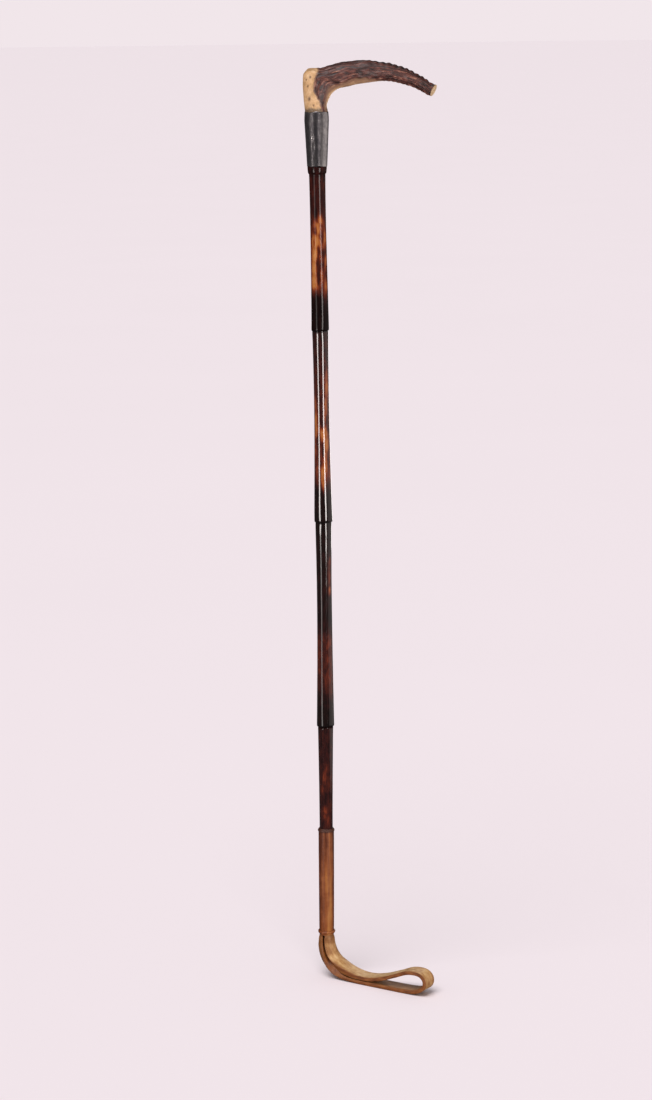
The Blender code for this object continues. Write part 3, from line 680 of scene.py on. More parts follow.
class CROP_OT_collar(bpy.types.Operator):
    """Adds the dented silver collar and the head of the pin that locks it"""
    bl_idname = "crop.collar"
    bl_label = "Silver collar"

    def execute(self, context):
        scene = context.scene
        silver = oxidised_silver(scene.crop_colours)
        turns = turns_of(144)
        heights = np.linspace(COLLAR_TOP_Z, COLLAR_BOTTOM_Z, 84)[:, None]
        t, z = turns[None, :], heights / MM
        dented = sum(share * bell(z - dent_z, tall) * beside(t, turn, wide)
                     for dent_z, turn, tall, wide, share in COLLAR_DENTS)
        facets = np.cos(9 * t + 0.8 * np.sin(z / 6)) * 0.015 * MM + np.cos(4 * t + 1.0) * 0.04 * MM
        outer_r = collar_radius(heights) - scene.crop_sizes.dent_depth * dented + facets
        inner_r = outer_r - COLLAR_WALL
        ragged_top = (0.35 * np.sin(3 * t + 0.6) + 0.22 * np.sin(7 * t + 2.0)) * MM * smooth(13, 20.5, z)
        ragged_low = (0.18 * np.sin(5 * t + 1.0) + 0.1 * np.sin(11 * t)) * MM * smooth(-15, -20.5, z)
        place_z = heights + ragged_top + ragged_low
        wall = np.concatenate([turned(radius, level, turns) for radius, level in (
            (outer_r, place_z), (outer_r[-1:] - COLLAR_LIP, place_z[-1:] - COLLAR_LIP),
            (inner_r[-1:], place_z[-1:]), (inner_r[::-6][1:], place_z[::-6][1:]), (inner_r[:1], place_z[:1]),
            (outer_r[:1] - COLLAR_LIP, place_z[:1] + COLLAR_LIP),
        )])
        # Rubbed back to metal at both ends, and painted light round the collar: a painted reflection of the
        # pale surround on its right front, a faint one on its left, a painted dark reflection down its front
        # and painted glints in its lower dents.
        rubbed_and_reflection = 0.30 + 0.42 * beside(t, 52, 26) * (0.8 + 0.2 * np.sin(z / 5)) + 0.08 * beside(t, -70, 20)
        rubbed_and_reflection = rubbed_and_reflection - 0.28 * beside(t, 2, 16) + 0.5 * np.abs(dented) * (z < 6)
        rubbed_and_reflection = rubbed_and_reflection + 0.35 * smooth(-17.5, -20.5, z) + 0.15 * smooth(18.5, 20.5, z)
        inside = np.full((len(wall) - len(heights), len(turns)), 0.2)
        collar = add_skin("silver_collar", [wall], silver, replaces=["collar_tube"],
                          marks={"rubbed_and_reflection": np.concatenate([rubbed_and_reflection, inside])}, loop=True, sharp=60)
        keep_off(collar, OFF_STRIPS)

        spin, rings = turns_of(28), []
        for share, rise in PIN_RINGS:
            reach = collar_radius(PIN_Z) - 0.1 * MM + rise * PIN_HEAD_RISE
            across, up = PIN_HEAD_R * share * np.cos(spin), PIN_HEAD_R * share * np.sin(spin)
            rings.append(np.stack([
                reach * math.sin(PIN_TURN) + across * math.cos(PIN_TURN),
                -reach * math.cos(PIN_TURN) + across * math.sin(PIN_TURN), PIN_Z + up], axis=1))
        pin = np.array(rings)
        # The pin head is rubbed bright all over, which also paints its glint.
        add_skin("pin_head", [pin], silver, replaces=["collar_pin"],
                 marks={"rubbed_and_reflection": np.full(pin.shape[:2], 0.95)})
        return {"FINISHED"}


# ---- cane ----

# Each internode: top z, bottom z, start radius, waist radius, place of the waist, end radius (mm).
INTERNODES = (
    (-26.9, -146.0, 6.35, 6.02, 0.30, 6.78),
    (-147.0, -294.0, 6.22, 5.87, 0.38, 6.95),
    (-295.0, -454.3, 6.18, 5.78, 0.33, 6.68),
    (-455.3, -545.0, 5.83, 5.12, 0.97, 5.12),
)
# How light the cane is down its length, from 0 charred black to 1 amber: (z in mm, level).
FLAME_BASE = (
    (-20, 0.22), (-27, 0.16), (-30, 0.27), (-56, 0.29), (-62, 0.36), (-112, 0.35), (-122, 0.08), (-146, 0.05),
    (-147, 0.24), (-172, 0.27), (-196, 0.31), (-262, 0.30), (-272, 0.12), (-294, 0.08), (-295, 0.10),
    (-330, 0.14), (-352, 0.14), (-366, 0.10), (-381, 0.22), (-386, 0.31), (-420, 0.30), (-434, 0.14),
    (-454, 0.05), (-455, 0.22), (-488, 0.25), (-534, 0.24), (-546, 0.12),
)
# Flames: (z, turn, half height in mm, half width in degrees, how much lighter or darker).
FLAMES = (
    (-61, 14, 4, 16, 0.42), (-69, -10, 6, 30, 0.45), (-78, -22, 9, 38, 0.48), (-88, -28, 9, 34, 0.50),
    (-98, -38, 9, 30, 0.45), (-108, -40, 9, 34, 0.42), (-112, -6, 5, 16, 0.30), (-76, 52, 7, 20, 0.28),
    (-94, 54, 8, 22, 0.30), (-114, 46, 13, 24, 0.26), (-106, 18, 8, 12, 0.26), (-82, 34, 5, 12, 0.24),
    (-69, -20, 3, 12, -0.50), (-85, -2, 5, 8, -0.45), (-96, -10, 7, 8, -0.52), (-105, -4, 8, 7, -0.50),
    (-90, 36, 6, 9, -0.26), (-78, -34, 4, 7, -0.35), (-100, 60, 5, 9, -0.25),
    (-203, -62, 9, 28, 0.24), (-214, -54, 8, 24, 0.38), (-223, -50, 8, 22, 0.38), (-238, -58, 14, 22, 0.22),
    (-188, 44, 13, 22, 0.34), (-203, 32, 9, 18, 0.24), (-225, 16, 7, 40, 0.46), (-233, 34, 8, 26, 0.44),
    (-247, 20, 14, 28, 0.40), (-256, 2, 9, 17, 0.44), (-264, 4, 6, 13, 0.40), (-250, 66, 16, 22, 0.22),
    (-213, 24, 6, 14, 0.30), (-252, -40, 10, 16, 0.18),
    (-216, 2, 6, 8, -0.30), (-239, 4, 5, 8, -0.38), (-230, -36, 3, 12, -0.30), (-243, 48, 5, 9, -0.28),
    (-197, 14, 5, 9, -0.24), (-221, 60, 4, 12, -0.3),
    (-325, 50, 6, 22, 0.32), (-337, 46, 11, 19, 0.36), (-347, 46, 5, 16, 0.50), (-398, 48, 17, 34, 0.12),
    (-416, 42, 14, 34, 0.12), (-398, -60, 16, 26, 0.14), (-426, 56, 9, 28, 0.14), (-385, -5, 8, 12, -0.12),
    (-404, -8, 12, 10, -0.10),
    (-495, -12, 7, 26, 0.20), (-504, -28, 5, 22, 0.22), (-488, 10, 5, 24, 0.15), (-523, -8, 7, 30, 0.22),
    (-528, 20, 6, 26, 0.20), (-500, 10, 8, 95, 0.09), (-512, 0, 5, 60, -0.16), (-470, 20, 12, 30, 0.03),
)
# Stretches (low z, high z) where the flames go on round the back.
BACK_ZONES = ((-112, -62), (-262, -185), (-350, -325), (-418, -382), (-530, -492))
# The step under the collar, above the first internode, and a node's lip: (z, radius) in mm, where the
# lip's heights are over its node and its radii are off the lip's own.
STEP_PROFILE = ((-18.0, 7.0), (-20.55, 7.0), (-20.75, 7.42), (-21.1, 7.5), (-22.3, 7.46), (-24.0, 7.3),
                (-25.1, 7.16), (-25.7, 7.02), (-26.2, 6.72), (-26.6, 6.40))
LIP_PROFILE = ((1.1, 0.0), (0.62, -0.06), (0.25, -0.2))


def back_flames():
    """More flames for the side that faces away, in the same lighter stretches."""
    draw = np.random.RandomState(5)
    found = []
    for low, high in BACK_ZONES:
        for _ in range(max(3, int((high - low) / 5))):
            found.append((
                draw.uniform(low, high), draw.uniform(95, 265), draw.uniform(4, 10), draw.uniform(12, 30),
                draw.choice([0.42, 0.34, 0.25, -0.3]),
            ))
    return found


def internode_radius(row, z):
    """Radius in mm of the internode in a row of INTERNODES, at height z in mm."""
    top, bottom, start, waist, place, end = row
    t = np.clip((top - z) / (top - bottom), 0, 1)
    upper = waist + (start - waist) * np.clip(1 - t / place, 0, 1) ** 2
    lower = waist + (end - waist) * np.clip((t - place) / (1 - place), 0, 1) ** 1.7
    return float(np.where(t < place, upper, lower))


def cane_profile(lip_drop):
    """Height and radius down the cane, in millimetres, closely spaced at the nodes."""
    profile = list(STEP_PROFILE)
    for row, below in zip(INTERNODES, (*INTERNODES[1:], None)):
        top, bottom = row[:2]
        stop = bottom + LIP_PROFILE[0][0] if below else bottom
        profile += [(z, internode_radius(row, z)) for z in np.arange(top, stop, -1.0)]
        lip = internode_radius(row, stop)
        if below:
            under = below[2]
            profile += [(bottom + rise, lip + out) for rise, out in LIP_PROFILE]
            profile += [(bottom, lip - lip_drop / MM), (bottom - 0.3, under - 0.16),
                        (bottom - 0.65, under - 0.1)]
        else:
            profile.append((stop, lip))
    return np.array(profile)


def varnished_cane():
    """Cane, scorched over a flame and varnished: charred black-brown, red where the scorch thins and
    amber where it missed, all under a hard clear coat that shows sharp long highlights."""
    made, tree = new_material("Cane, flame mottled and varnished", {
        "Roughness": 0.5, "IOR": 1.5, "Specular IOR Level": 0.0, "Coat Roughness": 0.07, "Coat IOR": 1.5,
    })
    mottle, groove = (add(tree, "Attribute", out="Fac", attribute_name=mark) for mark in ("mottle", "groove"))
    place = add(tree, "TexCoord", out="Object")
    tall, fibre = (add(tree, "Mapping", {"Vector": place, "Scale": (1.0, 1.0, squeeze)})
                   for squeeze in (0.42, 0.045))
    lick = add(tree, "TexNoise", {"Vector": tall, "Scale": per(3.2), "Detail": 4.0, "Roughness": 0.6,
                                  "Distortion": 0.5})
    thread = add(tree, "TexNoise", {"Vector": fibre, "Scale": per(0.55), "Detail": 3.0})
    level = swayed(tree, mottle, (lick, 0.28, 0.72, -0.11, 0.11), (thread, 0.3, 0.7, -0.07, 0.07))
    return finished(made, {
        "Base Color": add(tree, "ValToRGB", {"Fac": level}, ramp=[
            (0.00, "#0c0606"), (0.14, "#150a09"), (0.25, "#26100f"), (0.36, "#391710"), (0.45, "#512115"),
            (0.54, "#6e331a"), (0.66, "#874f27"), (0.80, "#986235"), (0.95, "#a87748")]),
        # The varnish is worn off in the grooves.
        "Coat Weight": add(tree, "Math", {0: 1.0, 1: groove}, operation="SUBTRACT"),
        "Normal": add(tree, "Bump", {"Strength": 0.10, "Distance": 0.1 * MM, "Height": thread}),
    })


class CROP_OT_cane(bpy.types.Operator):
    """Adds the varnished cane with its stepped nodes"""
    bl_idname = "crop.cane"
    bl_label = "Cane"

    def execute(self, context):
        turns = turns_of(72)
        profile = cane_profile(context.scene.crop_sizes.lip_drop)
        z, radius = profile[:, :1], profile[:, 1:]
        t = turns[None, :]
        nodes = np.array([row[1] for row in INTERNODES[:-1]])
        nearest = np.abs(z - nodes[None, :]).min(axis=1, keepdims=True)
        near = bell(nearest, 5.0)
        swell = radius * (1 + 0.012 * np.cos(2 * (t - z / 60)) + 0.006 * np.cos(3 * t + z / 35))
        swell = swell + 0.12 * near * np.cos(t - 1.2 + z / 40) + 0.05 * near * np.sin(5 * t + 1)
        swell = swell + 0.03 * grain(turned(swell * MM, z * MM, turns) * np.array([1, 1, 0.3]), 4.0, 2, 9.0)
        wave = 0.22 * near * (np.sin(2 * t + 0.5) + 0.5 * np.sin(5 * t))

        base = np.array(FLAME_BASE)[::-1]
        lighter = np.zeros_like(swell)
        for flame_z, turn, tall, wide, much in (*FLAMES, *back_flames()):
            flame = much * bell(z - flame_z, tall) * beside(t, turn, wide)
            lighter = lighter + flame if much < 0 else np.maximum(lighter, flame)
        mottle = np.interp(z, base[:, 0], base[:, 1]) + lighter - 0.15 * bell(nearest, 0.8)
        groove = smooth(0.35, 0.1, z - nodes[-1]) * smooth(-1.6, -0.9, z - nodes[-1])
        groove = np.maximum(groove, 0.8 * smooth(nodes[0] - 0.6, nodes[0] + 0.2, z))
        add_skin("cane", [turned(swell * MM, (z + wave) * MM, turns)], varnished_cane(),
                 replaces=["cane_shaft"], marks={"mottle": mottle, "groove": groove + 0 * t}, sharp=65)
        return {"FINISHED"}


# ---- rings, grip tube and seam ----

# In millimetres. The tube ends just under its lower ring, where the strap comes out of it.
SLEEVE_TOP_Z, SLEEVE_TOP_R, SLEEVE_BOTTOM_R, SLEEVE_INNER_R = -537.3, 5.95, 5.85, 5.0
LOWER_RING_Z, LOWER_RING_R, LOWER_RING_RISE, LOWER_RING_HALF = -618.1, 5.92, 0.78, 1.12
TUBE_END_Z, TUBE_RIM = -620.3, 0.25
SEAM_TURN = 180
TOP_RING_SPAN = ((-535.6, 5.38), (-536.2, 5.85), (-536.8, 6.30), (-537.3, 6.36), (-537.9, 6.10))
TOP_RING_CORE_R, WIND_STEPS = 5.05, 72
# A stitch: half its reach across the seam, its slant as a share of the pitch, its thread's radius, how
# far out it lies, and the radius of the arc that its reach is measured on.
STITCH_HALF, STITCH_SLANT, STITCH_THREAD_R, STITCH_R, STITCH_ARC_R = 1.1, 0.65, 0.27, 6.07, 6.0


def waxed_thread():
    """Linen thread, waxed black-brown and wound tight: matt ridges with a dull waxy shine."""
    return plain_material("Linen thread, waxed and wound", {"Roughness": 0.5, "IOR": 1.45}, 0.4, 3.0, [
        (0.3, "#2a1510"), (0.5, "#402015"), (0.75, "#5c3622")], bump_mm=0.06)


def tan_thread():
    """Linen thread, undyed and waxed by hand: pale tan, slightly hairy."""
    return plain_material("Linen thread, undyed and waxed", {"Roughness": 0.6, "IOR": 1.45}, 0.3, 3.0, [
        (0.3, "#6f5133"), (0.5, "#93714a"), (0.75, "#b2925f")], bump_mm=0.05)


def glazed_calf(colours):
    """Calf leather, glazed and darkened by handling: lengthwise streaks of tan and chestnut, fine pores,
    and a soft sheen. Its mask paints a highlight on the front right of each piece and shade round its other
    sides."""
    made, tree = new_material("Leather, calf, glazed and handled", {
        "Roughness": 0.4, "IOR": 1.5, "Specular IOR Level": 0.35,
    })
    wear_and_painted_light = add(tree, "Attribute", out="Fac", attribute_name="wear_and_painted_light")
    place = add(tree, "TexCoord", out="Object")
    fibre = add(tree, "Mapping", {"Vector": place, "Scale": (1.0, 1.0, 0.05)})
    streak = add(tree, "TexNoise", {"Vector": fibre, "Scale": per(1.7), "Detail": 3.0, "Roughness": 0.55})
    cloud = add(tree, "TexNoise", {"Vector": place, "Scale": per(9), "Detail": 3.0})
    pores = add(tree, "TexVoronoi", {"Vector": place, "Scale": per(0.55)})
    level = swayed(tree, wear_and_painted_light, (streak, 0.3, 0.7, -0.20, 0.20), (cloud, 0.3, 0.7, -0.12, 0.12))
    return finished(made, {
        "Base Color": add(tree, "ValToRGB", {"Fac": level}, ramp=[
            (0.05, "#2e1307"), (0.28, "#481f0c"), (0.46, "#5c2c0e"), (0.62, tuple(colours.sleeve_tan)),
            (0.80, "#7f491b"), (0.95, "#8b5826")]),
        "Normal": add(tree, "Bump", {"Strength": 0.22, "Distance": 0.06 * MM, "Height": pores}),
        "Roughness": add(tree, "MapRange", {"Value": cloud, 1: 0.3, 2: 0.7, 3: 0.34, 4: 0.5}),
    })


def coil(route, thread_r, sides=10):
    """Rings of points round a line of points, for a thread that follows it."""
    ahead = units(np.gradient(route, axis=0))
    out = route * np.array([1.0, 1.0, 0.0])
    out = units(out - (out * ahead).sum(axis=1, keepdims=True) * ahead)
    side = np.cross(ahead, out)
    spin = turns_of(sides)[None, :, None]
    ring = out[:, None, :] * np.cos(spin) + side[:, None, :] * np.sin(spin)
    radius = np.broadcast_to(np.asarray(thread_r, float).reshape(-1, 1, 1), (len(route), 1, 1))
    return route[:, None, :] + ring * radius


class CROP_OT_grip(bpy.types.Operator):
    """Adds the calf grip tube with its butted seam, and the ring at each of its ends"""
    bl_idname = "crop.grip"
    bl_label = "Grip tube and rings"

    def execute(self, context):
        scene = context.scene
        calf = glazed_calf(scene.crop_colours)
        turns = turns_of(132)
        t = turns[None, :]
        z = np.linspace(SLEEVE_TOP_Z, TUBE_END_Z, 120)[:, None]
        share = (SLEEVE_TOP_Z - z) / (SLEEVE_TOP_Z - TUBE_END_Z)
        radius = SLEEVE_TOP_R + (SLEEVE_BOTTOM_R - SLEEVE_TOP_R) * share
        from_seam = away(t, SEAM_TURN) * radius
        even = turned((radius + 0 * t) * MM, z * MM, turns)
        outer = radius - 0.30 * bell(from_seam, 0.32) + 0.10 * bell(from_seam, 1.3)
        outer = outer + 0.05 * grain(even * np.array([1, 1, 0.25]), 5.0, 2, 3.0)
        outer = outer + 0.08 * np.cos(2 * t + z / 25) - 0.12 * smooth(-613.5, -616.5, z)
        rim = np.concatenate([outer[-1:] - TUBE_RIM, np.full((1, len(turns)), SLEEVE_INNER_R)])
        inside = np.linspace(TUBE_END_Z + 2, SLEEVE_TOP_Z, 12)
        full = np.concatenate([turned(radii * MM, np.asarray(heights) * MM, turns) for radii, heights in (
            (outer, z), (rim, (TUBE_END_Z - 0.12, TUBE_END_Z)),
            (np.full((len(inside), len(turns)), SLEEVE_INNER_R), inside),
        )])
        # Lighter towards the bottom of the tube, with painted light round it: a painted highlight on its
        # front right and painted shade on its left and right sides. It is also darker along the seam and at
        # the very top, just under the thread ring.
        wear_and_painted_light = 0.40 + 0.22 * smooth(0.0, 0.55, share) + 0.10 * smooth(0.6, 1.0, share)
        wear_and_painted_light = wear_and_painted_light + 0.24 * beside(t, 24, 22) - 0.26 * beside(t, -66, 30) - 0.20 * beside(t, 74, 20)
        wear_and_painted_light = wear_and_painted_light - 0.30 * bell(from_seam, 0.5) - 0.25 * (1 - smooth(0, 0.02, share))
        hidden = np.full((len(full) - len(wear_and_painted_light), len(turns)), 0.15)
        add_skin("grip_sleeve", [full], calf, replaces=["leather_sleeve"],
                 marks={"wear_and_painted_light": np.concatenate([wear_and_painted_light, hidden])}, loop=True)

        # Wound thread ring: a packed core with one thread wound over it, its ends tucked under.
        span = np.array(TOP_RING_SPAN)
        core_r = np.concatenate([span[:, 1] - 0.25, np.full(2, TOP_RING_CORE_R)])
        core_z = np.concatenate([span[:, 0], [span[-1, 0], span[0, 0]]])
        core = turned(np.repeat(core_r[:, None], 96, axis=1) * MM, core_z * MM, turns_of(96))
        thread_r = scene.crop_sizes.thread_radius / MM
        rounds = (span[0, 0] - span[-1, 0]) / (1.72 * thread_r)
        wind = np.linspace(0, 1, int(rounds * WIND_STEPS))
        wind_z = span[0, 0] + (span[-1, 0] - span[0, 0]) * wind
        tuck = 1.2 * (1 - smooth(0, 0.02, wind)) + 1.2 * smooth(0.98, 1, wind)
        wind_r = np.interp(-wind_z, -span[:, 0], span[:, 1]) - 0.1 - tuck
        turn = 2 * np.pi * rounds * wind + 2.4
        thread = coil(np.stack([wind_r * np.sin(turn), -wind_r * np.cos(turn), wind_z], axis=1) * MM,
                      thread_r * MM)
        thread[..., 0] += bow(wind_z * MM)[:, None]
        waxed = waxed_thread()
        add_skin("thread_ring", [thread], waxed, replaces=["top_ring"])
        add_skin("thread_ring_core", [core], waxed, loop=True)

        spin = turns_of(28)[:, None]
        bulge = 0.95 + 0.03 * np.cos(3 * t) + 0.02 * np.sin(7 * t + 1)
        ring_r = LOWER_RING_R + LOWER_RING_RISE * np.cos(spin) * bulge
        ring_z = LOWER_RING_HALF * np.sin(spin) * (1 + 0.04 * np.sin(4 * t + 2)) + 0.08 * np.sin(2 * t)
        # The ring's tone is painted light: a painted highlight along its outer crest and on its front right,
        # and painted shade above, below and at its back left.
        add_skin("lower_ring_leather", [turned(ring_r * MM, (LOWER_RING_Z + ring_z) * MM, turns)], calf,
                 replaces=["lower_ring"],
                 marks={"wear_and_painted_light": 0.52 + 0.08 * np.cos(spin) + 0.08 * np.cos(t - 0.6)}, loop=True)
        return {"FINISHED"}


class CROP_OT_seam(bpy.types.Operator):
    """Adds the slanted stitches that close the grip tube's seam, at the back"""
    bl_idname = "crop.seam"
    bl_label = "Seam stitches"

    def execute(self, context):
        pitch = context.scene.crop_sizes.stitch_pitch / MM
        t = np.linspace(-1, 1, 15)
        lift = (STITCH_R - 0.55 * np.abs(t) ** 6) * MM
        angle = math.radians(SEAM_TURN) + STITCH_HALF * t / STITCH_ARC_R
        thread_r = STITCH_THREAD_R * MM * (1 - 0.5 * t ** 8)
        stitches = []
        for z in np.arange(SLEEVE_TOP_Z - 4, LOWER_RING_Z + 3, -pitch):
            height = (z + STITCH_SLANT * pitch * t / 2) * MM
            line = np.stack([lift * np.sin(angle) + bow(height), -lift * np.cos(angle), height], axis=1)
            stitches.append(coil(line, thread_r, 8))
        add_skin("seam_stitches", stitches, tan_thread(), replaces=["sleeve_seam_thread"])
        return {"FINISHED"}


# ---- keeper strap ----

# The strap's middle line: (distance from the shaft's axis along its bend, height over the floor) in mm,
# down the outer leg, along the underside, round the eye and back up the inner leg.
STRAP_ROUTE = (
    (-3.9, 36.5), (-3.95, 34.4), (-4.7, 31.8), (-5.2, 28.4), (-5.4, 23.4), (-4.2, 17.6), (-1.2, 12.0),
    (4.2, 7.4), (11.8, 3.9), (21.5, 2.1), (33, 1.6), (46, 1.6), (60, 1.6), (74, 1.8), (84, 2.9), (91, 7.0),
    (92, 12.8), (87, 16.9), (77, 16.7), (65, 12.1), (53, 7.7), (41, 5.3), (30, 5.8), (20, 8.9), (12.4, 14.0),
    (8.0, 19.6), (5.8, 25.0), (5.2, 28.6), (4.7, 31.8), (3.95, 34.4), (3.9, 36.5),
)
# How much of each end is tucked into the tube, and the radius of the strip's rounded edges.
STRAP_TUCKED, STRAP_CORNER = 3.2, 0.6
# Both tails are pared thinner and narrower where they go into the tube.
TAIL_HALF_THICK, TAIL_HALF_WIDTH, MOST_HALF_THICK = 1.0, 5.9, 2.9
# The tightest curl across the strap, and how many rows its change is softened over.
TIGHTEST_CURL_R, CURL_SOFTENING = 3.8, 57
# How pale the leather is down its length: palest along the inner leg, browner at the eye, and darkest
# just under the tube, where the darkening is painted shade.
PALE_AT = (0.0, 0.06, 0.13, 0.20, 0.35, 0.47, 0.55, 0.66, 0.80, 0.90, 0.95, 1.0)
PALE = (0.0, 0.0, 0.02, 0.12, 0.40, 0.40, 0.48, 0.60, 0.62, 0.48, 0.34, 0.10)


def strap_section(half_width, half_thick):
    """A rounded strip across the strap as (across, through) points, with slightly dished faces."""
    flat = half_width - STRAP_CORNER
    points = []
    for sx, sy, start in ((1, 1, 0), (-1, 1, 90), (-1, -1, 180), (1, -1, 270)):
        for k in range(5):
            a = math.radians(start + 22.5 * k)
            points.append((sx * flat + STRAP_CORNER * math.cos(a),
                           sy * (half_thick - STRAP_CORNER) + STRAP_CORNER * math.sin(a)))
        if sx == sy:
            points += [(sx * share * flat, sy * half_thick) for share in np.linspace(1, -1, 12)[1:-1]]
    section = np.array(points)
    section[:, 1] *= 1 - 0.10 * (1 - (section[:, 0] / half_width) ** 2)
    return section


def half_gap(route, along):
    """Half the distance from each place of the strap's middle line to the other leg's."""
    first = along < along[-1] / 2
    gaps = np.linalg.norm(route[:, None] - route[None, :], axis=2)
    gaps[np.equal.outer(first, first)] = np.inf
    return gaps.min(axis=1) / 2


def leg_curl(route, along, leg, half_w, half_t):
    """Radius that each place of the strap curls to across its width. The two legs curl towards each
    other until their edges nearly meet: round the shaft's end at the top, and flat where they lie
    together. leg is the distance down each leg from the tube, and the curl is found by halving."""
    apart = half_gap(route, along) + 0.12 - 0.50 * (1 - smooth(4, 13, leg))
    low, high = np.full(len(leg), 1e-4), np.full(len(leg), 1 / TIGHTEST_CURL_R)
    for _ in range(40):
        bend = (low + high) / 2
        reach = 1 / bend - (1 / bend - half_t) * np.cos(half_w * bend)
        low, high = np.where(reach < apart, bend, low), np.where(reach < apart, high, bend)
    bend = (low + high) / 2 * (1 - smooth(34, 50, leg))
    soften = np.hanning(CURL_SOFTENING) / np.hanning(CURL_SOFTENING).sum()
    padded = np.pad(bend, CURL_SOFTENING // 2, mode="edge")
    return 1 / (np.convolve(padded, soften, mode="valid") + 1e-4)


def strap_leather(colours):
    """Bridle leather, curried and then worn: a pale rubbed face, a browner flesh side, and edges
    burnished dark with use. Just under the tube the face is darkened as painted shade."""
    made, tree = new_material("Leather, bridle butt, curried and worn", {
        "Roughness": 0.5, "IOR": 1.5, "Specular IOR Level": 0.3,
    })
    face, wear_and_painted_light, cut = (
        add(tree, "Attribute", out="Fac", attribute_name=mark) for mark in ("face", "wear_and_painted_light", "cut"))
    flat = add(tree, "Attribute", out="Vector", attribute_name="flat")
    cloud = add(tree, "TexNoise", {"Vector": flat, "Scale": per(5), "Detail": 4.0, "Roughness": 0.6})
    long = add(tree, "Mapping", {"Vector": flat, "Scale": (0.16, 1.0, 1.0)})
    streak = add(tree, "TexNoise", {"Vector": long, "Scale": per(1.1), "Detail": 3.0})
    level = swayed(tree, wear_and_painted_light, (cloud, 0.3, 0.7, -0.22, 0.22), (streak, 0.3, 0.7, -0.12, 0.12))
    outer = add(tree, "ValToRGB", {"Fac": level}, ramp=[
        (0.0, "#683f1a"), (0.25, "#80582f"), (0.45, "#987348"), (0.65, tuple(colours.strap_tan)),
        (0.85, "#b89d78"), (1.0, "#c0a988")])
    inner = add(tree, "ValToRGB", {"Fac": level}, ramp=[(0.1, "#633f1f"), (0.5, "#81582f"), (0.9, "#9a7143")])
    burnish = add(tree, "ValToRGB", {"Fac": streak}, ramp=[
        (0.3, "#4f270c"), (0.5, tuple(colours.strap_edge)), (0.75, "#805026")])
    sides = add(tree, "Mix", {0: face, 6: inner, 7: outer}, **COLOUR_MIX)
    pores = add(tree, "TexVoronoi", {"Vector": flat, "Scale": per(0.6)})
    rough = add(tree, "Math", {0: pores, 1: cloud}, operation="ADD")
    return finished(made, {
        "Base Color": add(tree, "Mix", {0: cut, 6: sides, 7: burnish}, **COLOUR_MIX),
        "Normal": add(tree, "Bump", {"Strength": 0.3, "Distance": 0.08 * MM, "Height": rough}),
        "Roughness": add(tree, "MapRange", {"Value": cut, 3: 0.54, 4: 0.46}),
    })


class CROP_OT_strap(bpy.types.Operator):
    """Adds the keeper strap, folded into an eye below the grip tube"""
    bl_idname = "crop.strap"
    bl_label = "Keeper strap"

    def execute(self, context):
        scene = context.scene
        width, thick = scene.crop_sizes.strap_width / MM, scene.crop_sizes.strap_thickness / MM
        route = spline(STRAP_ROUTE, 330)
        along = lengths(route)
        ahead = units(np.gradient(route, axis=0))
        out = np.stack([ahead[:, 1], -ahead[:, 0]], axis=1)
        leg = np.minimum(along, along[-1] - along) - STRAP_TUCKED
        thin = TAIL_HALF_THICK + (thick / 2 - TAIL_HALF_THICK) * smooth(-0.5, 3.0, leg)
        half_w = TAIL_HALF_WIDTH + (width / 2 - TAIL_HALF_WIDTH) * smooth(-0.5, 4.0, leg)

        # Between the bend and the eye the legs swell inwards to fill the gap between them.
        fill = np.maximum(np.minimum((thin + half_gap(route, along)) / 2, MOST_HALF_THICK) - thin, 0)
        fill = fill * smooth(4, 22, leg) * (1 - smooth(36, 50, leg))
        route, half_t = route - out * fill[:, None], thin + fill
        bend_r = leg_curl(route, along, leg, half_w, half_t)[:, None]

        section = np.array([strap_section(*halves) for halves in zip(half_w, half_t)])
        across, through = section[..., 0], section[..., 1] / half_t[:, None]
        angle, arm = across / bend_r, bend_r + section[..., 1]
        outward = arm * np.cos(angle) - bend_r
        rolled = np.stack([along[:, None] * MM + 0 * across, across * MM, through * MM], axis=2)
        ripple = grain(rolled, 9.0, 2, 4.4)
        u = route[:, :1] + out[:, :1] * outward
        v = arm * np.sin(angle) + 0.18 * ripple
        h = np.maximum(route[:, 1:] + out[:, 1:] * outward, 0)
        cos, sin = math.cos(BEND_TURN), math.sin(BEND_TURN)
        grid = np.stack([u * cos + v * sin, v * cos - u * sin, h + FLOOR_Z / MM], axis=2) * MM

        edge = np.abs(across) / half_w[:, None]
        # Both ends of the strap are darkened under the tube as painted shade.
        pale = np.interp((along / along[-1])[:, None], PALE_AT, PALE)
        marks = {
            "flat": rolled, "face": smooth(-0.35, 0.35, through), "cut": smooth(0.90, 0.975, edge),
            "wear_and_painted_light": pale - 0.18 * smooth(0.6, 0.95, edge) + 0.05 * ripple,
        }
        strap = add_skin("keeper_strap", [grid], strap_leather(scene.crop_colours), body=None,
                         replaces=["keeper_loop", "keeper_tail_inner", "keeper_tail_outer"], marks=marks)
        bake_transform(strap)
        return {"FINISHED"}


# ---- hidden parts ----

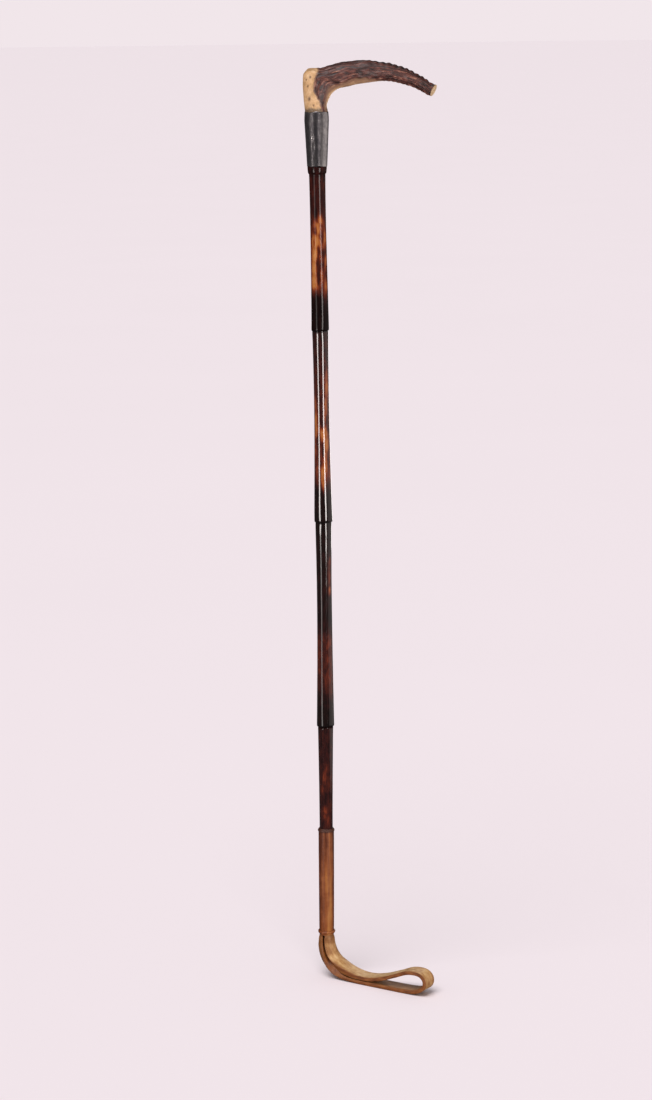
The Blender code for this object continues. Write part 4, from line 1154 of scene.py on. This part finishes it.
def drawn_steel():
    """Mild steel, drawn to a rod: grey, with a fine mottle from the die."""
    return plain_material("Steel, drawn mild rod", {"Metallic": 1.0, "Roughness": 0.4}, 0.8, 2.0, [
        (0.3, "#6f6f72"), (0.7, "#8d8d90")])


def cutlers_pitch():
    """Cutler's pitch, poured hot and set: near-black brown, glassy where it broke."""
    return plain_material("Pitch, poured and set", {"Roughness": 0.3, "IOR": 1.55}, 3, 2.0, [
        (0.3, "#120c09"), (0.7, "#261a12")])


class CROP_OT_hidden_parts(bpy.types.Operator):
    """Gives the CAD parts that stay inside the crop their materials"""
    bl_idname = "crop.hidden_parts"
    bl_label = "Hidden parts"

    def execute(self, context):
        finishes = {
            "handle_stud": (drawn_steel(), "steel"), "collar_cement": (cutlers_pitch(), "pitch"),
            "tail_whipping": (tan_thread(), "linen_thread"),
        }
        for node, (material, slot) in finishes.items():
            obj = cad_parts[node]
            obj.data.materials.clear()
            obj.data.materials.append(material)
        return {"FINISHED"}


class CROP_PT_pieces(bpy.types.Panel):
    bl_label = "Riding crop"
    bl_idname = "CROP_PT_pieces"
    bl_space_type = "VIEW_3D"
    bl_region_type = "UI"
    bl_category = "Crop"

    def draw(self, context):
        for group in (context.scene.crop_sizes, context.scene.crop_colours):
            box = self.layout.box()
            for name in group.__annotations__:
                box.prop(group, name)
        for operator in OPERATORS:
            self.layout.operator(operator.bl_idname)


OPERATORS = (
    CROP_OT_stage, CROP_OT_antler, CROP_OT_collar, CROP_OT_cane, CROP_OT_grip, CROP_OT_seam, CROP_OT_strap,
    CROP_OT_hidden_parts,
)
CLASSES = (CropSizes, CropColours, *OPERATORS, CROP_PT_pieces)


def register():
    for cls in CLASSES:
        bpy.utils.register_class(cls)
    bpy.types.Scene.crop_sizes = bpy.props.PointerProperty(type=CropSizes)
    bpy.types.Scene.crop_colours = bpy.props.PointerProperty(type=CropColours)


def unregister():
    del bpy.types.Scene.crop_colours
    del bpy.types.Scene.crop_sizes
    for cls in reversed(CLASSES):
        bpy.utils.unregister_class(cls)


def main():
    register()
    for operator in OPERATORS:
        group, name = operator.bl_idname.split(".")
        getattr(getattr(bpy.ops, group), name)()


if __name__ == "__main__":
    main()
